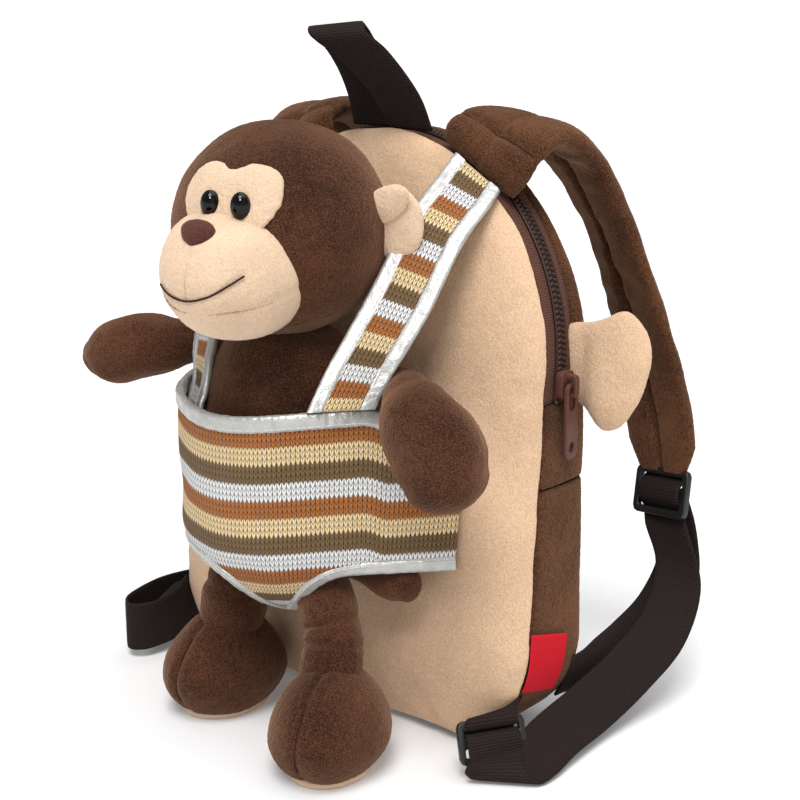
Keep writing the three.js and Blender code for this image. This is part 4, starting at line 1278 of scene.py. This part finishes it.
def limbPiece(name, rows, node, count, around, wrinkles, seed, seamTurns=()):
    tips = limb["tips"]
    path = spline([row[:3] for row in rows], count)
    radii = spline([(row[3], 0.0, i * 8.0) for i, row in enumerate(rows)], count)[:, 0]
    run = lengths(path)
    points = tubePoints(path, radii, around, tips)
    centres = points[:, :-1].mean(axis=1, keepdims=True)
    turns = np.linspace(0, 2 * math.pi, around + 1)[None, :]
    before = np.full(tips[0], -limb["tipRun"])
    after = np.full(tips[1], run[-1] + limb["tipRun"])
    rowRun = np.concatenate([before, run, after])[:, None]
    shrink = np.zeros((len(points), around + 1))
    for at, depth, wide, side in wrinkles:
        slope = at * run[-1] + limb["foldSlope"] * np.sin(turns + side)
        shrink += depth * np.exp(-(((rowRun - slope) / wide) ** 2)) * (0.55 + 0.45 * np.cos(turns - side))
    for side in seamTurns:
        off = np.abs((turns - side + math.pi) % (2 * math.pi) - math.pi)
        shrink += limb["seamDeep"] * np.exp(-((off / limb["seamWide"]) ** 2))
    away = points - centres
    reach = np.maximum(np.linalg.norm(away, axis=2, keepdims=True), 1e-6)
    points = centres + away * np.maximum(1 - shrink[:, :, None] / np.maximum(reach, 4.0), 0.2)
    bm = skin(points)
    ruffle(bm, (*limb["sag"], seed), (*limb["crinkle"], seed + 2))
    padPiece(name, bm, toyPlush, [node])


arms = {
    "right": {
        "rows": [
            (30, -52, 163, 10), (46, -52, 164, 8.5), (58, -53, 164, 8), (66, -57, 164, 9.5),
            (74, -64, 162, 13), (87, -71, 155, 18.5), (96.5, -73, 146, 20), (101, -73, 136.5, 17.5),
        ],
        "grid": (54, 46),
        "folds": [(0.55, 1.0, 3.0, 0.5)],
        "seed": 3.0,
    },
    "left": {
        "rows": [
            (-30, -52, 163, 10), (-46, -52, 164, 8.5), (-58, -53, 165, 8), (-66, -58, 166, 10),
            (-76, -68, 165, 14), (-90, -76, 162, 15.5), (-101, -80, 158, 14.5), (-107, -81, 156, 10),
        ],
        "grid": (52, 44),
        "folds": [(0.5, 1.0, 3.0, 0.5)],
        "seed": 6.0,
    },
}
armSeams = (2.2, 5.4)
for side, arm in arms.items():
    node = "toy_arm_" + side
    limbPiece("toy_arm_plush_" + side, arm["rows"], node, *arm["grid"], arm["folds"], arm["seed"], armSeams)
toyTail = [(16, -48.8, 76, 7), (36, -50, 76, 7.5), (53, -52.5, 75.5, 9), (63, -53.5, 75.5, 7.5)]
limbPiece("toy_tail_plush", toyTail, "toy_tail", 30, 32, (), 9.0)

feet = {
    "radii": (25.0, 31.0, 26.0),
    "z": 21.0,
    "slim": 0.17,
    "seamDeep": 1.3,
    "seamWide": 1.7,
    "stitches": (-0.45, 0.75),
    "thread": 0.42,
    "ruffle": (15.0, 0.9, 2.0),
    "ankleZ": 40.0,
    "soleTop": 2.4,
    "soleFrom": 3.0,  # the height at which the foot's own girth is the sole's
    "soleRings": [  # height and share of the sole's reach
        (0.0, 0.0), (0.0, 0.5), (0.0, 0.93), (0.5, 0.98), (1.6, 1.0),
        (2.6, 1.0), (3.3, 0.97), (3.4, 0.9), (3.4, 0.0),
    ],
    "fill": 0.85,
    "soleFill": 0.6,
}
legs = {  # a fold has its share of the leg's length, depth, width and the side it opens to
    "right": {
        "foot": (52.0, -91.0),
        "yaw": 0.25,
        "hip": (21, -70, 82),
        "knee": (40, -77, 58),
        "girth": (12.0, 13.0, 13.5),
        "folds": [(0.58, 2.2, 1.7, 0.8), (0.76, 2.4, 1.6, 1.3)],
    },
    "left": {
        "foot": (-30.0, -77.0),
        "yaw": 0.0,
        "hip": (-20, -68, 82),
        "knee": (-26, -71, 58),
        "girth": (14.0, 15.5, 15.0),
        "folds": [(0.55, 1.6, 2.2, 1.2)],
    },
}


def footSlim(rise):
    return 1 - feet["slim"] * np.maximum(rise, -0.2)  # an egg, narrower above


def footSkin():
    bm = ball((0, 0, 0), feet["radii"], 24)
    for vert in bm.verts:
        slim = footSlim(vert.co.z / feet["radii"][2])
        vert.co.x *= slim
        vert.co.y *= slim
        seam = math.exp(-((vert.co.x / feet["seamWide"]) ** 2)) * (vert.co.y < 4)
        vert.co -= vert.co.normalized() * feet["seamDeep"] * seam
        vert.co.z = max(vert.co.z, feet["soleTop"] - feet["z"])
    return bm


def footStitches():
    climb = np.linspace(*feet["stitches"], 37)
    rise = np.sin(climb)
    front = -feet["radii"][1] * np.cos(climb) * footSlim(rise)
    bm = bmesh.new()
    line = np.stack([0 * climb, front, feet["radii"][2] * rise], axis=-1) * 0.975
    dashes(bm, line, 3, feet["thread"])
    return bm


def soleSkin():
    angles = np.linspace(0, 2 * math.pi, 121)
    reach = math.sqrt(1 - ((feet["soleFrom"] - feet["z"]) / feet["radii"][2]) ** 2)
    halfX, halfY = feet["radii"][0] * reach, feet["radii"][1] * reach
    rings = []
    for height, share in feet["soleRings"]:
        ring = [halfX * share * np.cos(angles), halfY * share * np.sin(angles)]
        rings.append(np.stack([*ring, np.full_like(angles, height - feet["z"])], axis=-1))
    return skin(np.array(rings))


for side, leg in legs.items():
    x, y = leg["foot"]
    onFoot = Matrix.Translation((x, y, feet["z"])) @ Matrix.Rotation(leg["yaw"], 4, "Z")
    foot, stitches, sole = footSkin(), footStitches(), soleSkin()
    for bm in (foot, stitches, sole):
        bmesh.ops.transform(bm, matrix=onFoot, verts=bm.verts)
    bmesh.ops.recalc_face_normals(foot, faces=foot.faces)
    ruffle(foot, feet["ruffle"])
    padPiece("toy_foot_plush_" + side, foot, toyPlush, ["toy_foot_" + side])
    addPiece("toy_foot_stitches_" + side, stitches, mouthThread)
    name, node = "toy_sole_plush_" + side, "toy_sole_" + side
    padPiece(name, sole, facePlush, [node], levels=0, pile=0.3)
    knee = leg["knee"]
    ankle = (mixed(knee[0], x, 0.6), mixed(knee[1], y, 0.6), feet["ankleZ"])
    legRows = [(*place, girth) for place, girth in zip((leg["hip"], knee, ankle), leg["girth"])]
    limbPiece("toy_leg_plush_" + side, legRows, "toy_leg_" + side, 46, 42, leg["folds"], 4.0)
print("toy body made")

pouch = {
    "halfWidth": 54.0,
    "halfDepth": 51.0,
    "centreY": -57.0,
    "wingX": 79.0,
    "wall": 2.2,
    "thick": 2.0,
    "angle": math.radians(35),
    "belt": 0.62,
    "ease": 0.12,
    "bowlFrom": 100.0,
    "bowlDepth": 46.0,
    "proud": 0.5,
    "rim": (146.5, 150.5, 122.0),  # heights at the middle, at the belt's end and at the wing's end
    "rimFalls": 0.72,
    "hem": {"high": 88.0, "drop": 28.0, "lowestX": 29.0, "spread": (26.0, 11.0)},
    "stripesLevel": 110.0,
    "stripesFall": 4.0,
    "ruffle": (17.0, 1.1, 7.0),
    "columns": 124,
    "rows": 31,
}


def softRamp(value, reach):
    eased = (value + reach) ** 2 / (4 * reach)
    return np.where(value > reach, value, np.where(value < -reach, 0.0, eased))


def pouchPoints(s, z):
    reach = np.abs(s)
    side = np.where(s < 0, -1.0, 1.0)
    sunk = np.maximum(pouch["bowlFrom"] - z, 0.0) / pouch["bowlDepth"]
    shrink = np.sqrt(np.maximum(1 - sunk**2, 0.0))
    share = 1 - softRamp(1 - reach / pouch["belt"], pouch["ease"])
    angle = mixed(math.pi / 2, pouch["angle"], share)
    x = pouch["halfWidth"] * shrink * np.cos(angle)
    y = pouch["centreY"] - pouch["halfDepth"] * shrink * np.sin(angle)
    pastBelt = (reach - pouch["belt"]) / (1 - pouch["belt"])
    wing = np.clip(softRamp(pastBelt, 2 * pouch["ease"]), 0.0, 1.0)
    endY = panelFrontY(np.full_like(z, pouch["wingX"]), z) - (pouch["wall"] + gap + pouch["proud"])
    return np.stack([side * mixed(x, pouch["wingX"], wing), mixed(y, endY, wing), z], axis=-1)


def rimHeight(s):
    reach = np.abs(s)
    middle, beltEnd, wingEnd = pouch["rim"]
    front = mixed(middle, beltEnd, smoothStep(0, pouch["belt"], reach))
    return mixed(front, wingEnd, smoothStep(pouch["rimFalls"], 1.0, reach))


def hemHeight(s):
    hem = pouch["hem"]
    aside = pouchPoints(s, np.full_like(s, pouch["bowlFrom"]))[..., 0] - hem["lowestX"]
    spread = np.where(aside < 0, *hem["spread"])
    return hem["high"] - hem["drop"] * np.exp(-((aside / spread) ** 2))


across = np.linspace(-1, 1, pouch["columns"] + 1)
rimZ, hemZ = rimHeight(across), hemHeight(across)
levels = [mixed(rimZ, hemZ, u) for u in np.linspace(0, 1, pouch["rows"] + 1)]
places = np.array([pouchPoints(across, level) for level in levels])
belt = lengths(pouchPoints(across, np.full_like(across, pouch["stripesLevel"])))
steps = np.linalg.norm(np.diff(places, axis=0), axis=2)
fall = np.concatenate([[np.zeros(len(across))], np.cumsum(steps, axis=0)])
fall = fall + np.maximum(pouch["rim"][1] - rimZ - pouch["stripesFall"], 0.0)
cloth = np.stack([np.tile(belt, (pouch["rows"] + 1, 1)), fall], axis=-1)
bm = skin(places, cloth, weld=False)
ruffle(bm, pouch["ruffle"])
obj = addPiece("pouch_knit", bm, stripedKnit, ["pouch"])
faceOut(obj, places)
thicken(obj, pouch["thick"], -1.0)
refine(obj)

binding = {
    "around": 28,
    "fold": (0.3, 0.15, 0.13),  # depth, place and width of the line along the folded edge
    "gather": 0.22,
    "slack": 0.25,
    "seamAt": 0.55,
    "dash": 1.9,
    "dashStep": 2.7,
    "thread": 0.3,
}


def bindingTube(path, outward, upward, halfThick, halfTall, seed):
    run = lengths(path)
    foldDeep, foldAt, foldWide = binding["fold"]
    rings = []
    for angle in np.linspace(0, 2 * math.pi, binding["around"] + 1):
        c, s = math.cos(angle), math.sin(angle)
        v = math.copysign(abs(s) ** 0.75, s)
        u = math.copysign(abs(c) ** 0.6, c) * (1 - foldDeep * math.exp(-(((v - foldAt) / foldWide) ** 2)))
        gather = np.array([noise.noise(Vector((r / 2.3, v * 1.2, seed + u))) for r in run])
        slack = np.array([noise.noise(Vector((r / 11.0, v * 0.5, seed + 9.0))) for r in run])
        thick = u * halfThick * (1 + binding["gather"] * gather + binding["slack"] * slack)
        tall = v * halfTall * (1 + 0.05 * gather)
        rings.append(path + outward * thick[:, None] + upward * tall[:, None])
    return np.array(rings)


def bindingPiece(name, edge, halfThick, halfTall, node, flip, seed, stitchSide):
    path, outward, upward = edge
    bm = skin(bindingTube(path, outward, upward, halfThick, halfTall, seed))
    closeEnds(bm, 20)
    if flip:
        mirrorX(bm)
    obj = addPiece(name, bm, silverSatin, [node])
    width = 2 * (halfThick + halfTall)
    max(width * metres, 0.01)
    seamLine = path + outward * (halfThick * 0.92) + upward * (stitchSide * halfTall * binding["seamAt"])
    run = lengths(seamLine)
    bm = bmesh.new()
    for start in np.arange(0.6, run[-1] - 2.6, binding["dashStep"]):
        along = np.linspace(start, start + binding["dash"], 4)
        dash = np.stack([np.interp(along, run, seamLine[:, k]) for k in range(3)], axis=-1)
        threadTube(bm, dash, binding["thread"], 5)
    if flip:
        mirrorX(bm)
    addPiece(name + "_stitches", bm, stitchThread)


def pouchEdge(edgeHeight, over):
    s = np.linspace(-1, 1, 420)
    heights = edgeHeight(s) + over
    path = pouchPoints(s, heights)
    ahead = unit(np.gradient(path, axis=0))
    above = pouchPoints(s, heights + 1.0) - pouchPoints(s, heights - 1.0)
    outward = unit(np.cross(ahead, above))
    upward = unit(np.cross(outward, ahead))
    return path - outward, outward, upward


bindingPiece("pouch_rim_binding", pouchEdge(rimHeight, 2.7), 2.0, 3.7, "pouch_rim", False, 2.0, -1)
bindingPiece("pouch_hem_binding", pouchEdge(hemHeight, -2.2), 1.9, 3.1, "pouch_hem", False, 5.0, 1)

suspender = {
    "rows": [
        ((49.4, -80, 157.2), (0.6, 0.8, 0)),
        ((51, -72, 170), (0.72, 0.58, -0.1)),
        ((56.5, -51, 200), (0.87, 0.3, -0.25)),
        ((58, -30, 228), (0.92, 0.2, -0.3)),
        ((57.5, -11, 242), (0.92, 0.1, -0.38)),
        ((57, -0.8, 249.6), (0.86, 0, -0.5)),
    ],
    "leftRows": [
        ((30, -91, 147), (0.62, 0.36, 0)),
        ((31.5, -85.5, 156.5), (0.68, 0.38, 0)),
        ((38, -77, 170), (0.82, 0.36, -0.1)),
        ((49, -54.5, 200), (0.9, 0.3, -0.25)),
    ],
    "sharedFrom": 3,  # the first row that both sides have
    "half": 8.4,
    "columns": 14,
    "binding": (7.4, 14.5),
    "bindingThick": 1.5,
    "thick": 2.0,
    "count": 90,
    "stripes": (1.06, 9.5),  # stretch and start of the stripes
    "wale": 0.4,
}
for side, flip in bothSides:
    rows = suspender["leftRows"] + suspender["rows"][suspender["sharedFrom"] :] if flip else suspender["rows"]
    at = spline([row[0] for row in rows], suspender["count"])
    across = spline([row[1] for row in rows], suspender["count"])
    out = -unit(np.cross(np.gradient(at, axis=0), across))
    run = lengths(at)
    stretch, start = suspender["stripes"]
    down = (run[-1] - run) * stretch + start
    offsets = np.linspace(-suspender["half"], suspender["half"], suspender["columns"] + 1)
    places = np.array([at + across * offset for offset in offsets])
    waleAt = [np.full_like(run, offset + suspender["wale"]) for offset in offsets]
    cloth = np.array([np.stack([wale, down], axis=-1) for wale in waleAt])
    bm = skin(places, cloth, weld=False)
    if flip:
        mirrorX(bm)
    obj = addPiece("suspender_knit_" + side, bm, stripedKnit, ["suspender_" + side])
    thicken(obj, suspender["thick"], 0.0)
    refine(obj)
    inner, outer = suspender["binding"]
    for edge, turn in (("outer", 1), ("inner", -1)):
        edgeLine = (at + across * (turn * (inner + outer) / 2), out, unit(across) * turn)
        node = "suspender_" + edge + "_binding_" + side
        halfTall = (outer - inner) / 2
        thick = suspender["bindingThick"]
        bindingPiece(node + "_satin", edgeLine, thick, halfTall, node, flip, 3.0 + turn, -1)
print("harness made")

cameraSpec = {"place": (0.4924, -0.5436, 0.3337), "aim": (0.038, -0.030, 0.150), "lens": 72.0, "sensor": 36.0}
cameraData = bpy.data.cameras.new("camera")
cameraData.lens = cameraSpec["lens"]
cameraData.sensor_width = cameraSpec["sensor"]
camera = bpy.data.objects.new("camera", cameraData)
camera.location = cameraSpec["place"]
sightLine = Vector(cameraSpec["aim"]) - Vector(cameraSpec["place"])
camera.rotation_euler = sightLine.to_track_quat("-Z", "Y").to_euler()
scene.collection.objects.link(camera)
scene.camera = camera

suns = {
    "key": {"from": (0.36, -0.64, 1.38), "angle": 30.0, "power": 2.45},
    "top": {"from": (0.15, 0.25, 1.0), "angle": 60.0, "power": 1.45},
    "side": {"from": (1.0, -0.4, 0.6), "angle": 50.0, "power": 0.12},
    "glint": {"from": (0.44, -0.64, 0.63), "angle": 13.0, "power": 1.8},
}
for name, spec in suns.items():
    sunData = bpy.data.lights.new(name, "SUN")
    sunData.angle = math.radians(spec["angle"])
    sunData.energy = spec["power"]
    sun = bpy.data.objects.new(name, sunData)
    sun.rotation_euler = (-Vector(spec["from"])).to_track_quat("-Z", "Y").to_euler()
    sun.visible_diffuse = name != "glint"  # the glint only shows in the shiny pieces
    scene.collection.objects.link(sun)

sky = {"low": (1.0, 1.0, 1.0, 1.0), "high": (0.32, 0.32, 0.33, 1.0), "from": 0.04, "rise": 8.0}
world = bpy.data.worlds.new("studio")
world.use_nodes = True
wire = Wire(world.node_tree)
direction = wire.add("ShaderNodeTexCoord", output="Generated")
height = wire.add("ShaderNodeSeparateXYZ", None, {0: direction}, 2)
glow = ((height - sky["from"]) * sky["rise"]).within(0.0, 1.0).blend(sky["low"], sky["high"])
plug(glow, world.node_tree.nodes["Background"], "Color")
scene.world = world
scene.view_settings.view_transform = "Standard"

floor = {
    "half": 6.0,
    "z": -0.0003,
    "look": {
        "Roughness": 0.8,
        "Base Color": (0.78, 0.78, 0.78, 1.0),
        "Emission Color": (1.0, 1.0, 1.0, 1.0),
        "Emission Strength": 0.1,
    },
}
bm = bmesh.new()
bmesh.ops.create_grid(bm, x_segments=1, y_segments=1, size=floor["half"])
bmesh.ops.translate(bm, verts=bm.verts, vec=(0, 0, floor["z"]))
floorMesh = bpy.data.meshes.new("floor")
bm.to_mesh(floorMesh)
bm.free()
floorMesh.materials.append(startMaterial("floorPaint", floor["look"])[0])
floorPlane = bpy.data.objects.new("floor", floorMesh)
scene.collection.objects.link(floorPlane)
print("stage made")

for obj in scene.objects:
    for modifier in obj.modifiers:
        modifier.show_viewport = True  # off until now, because every update of the view layer works them all out again
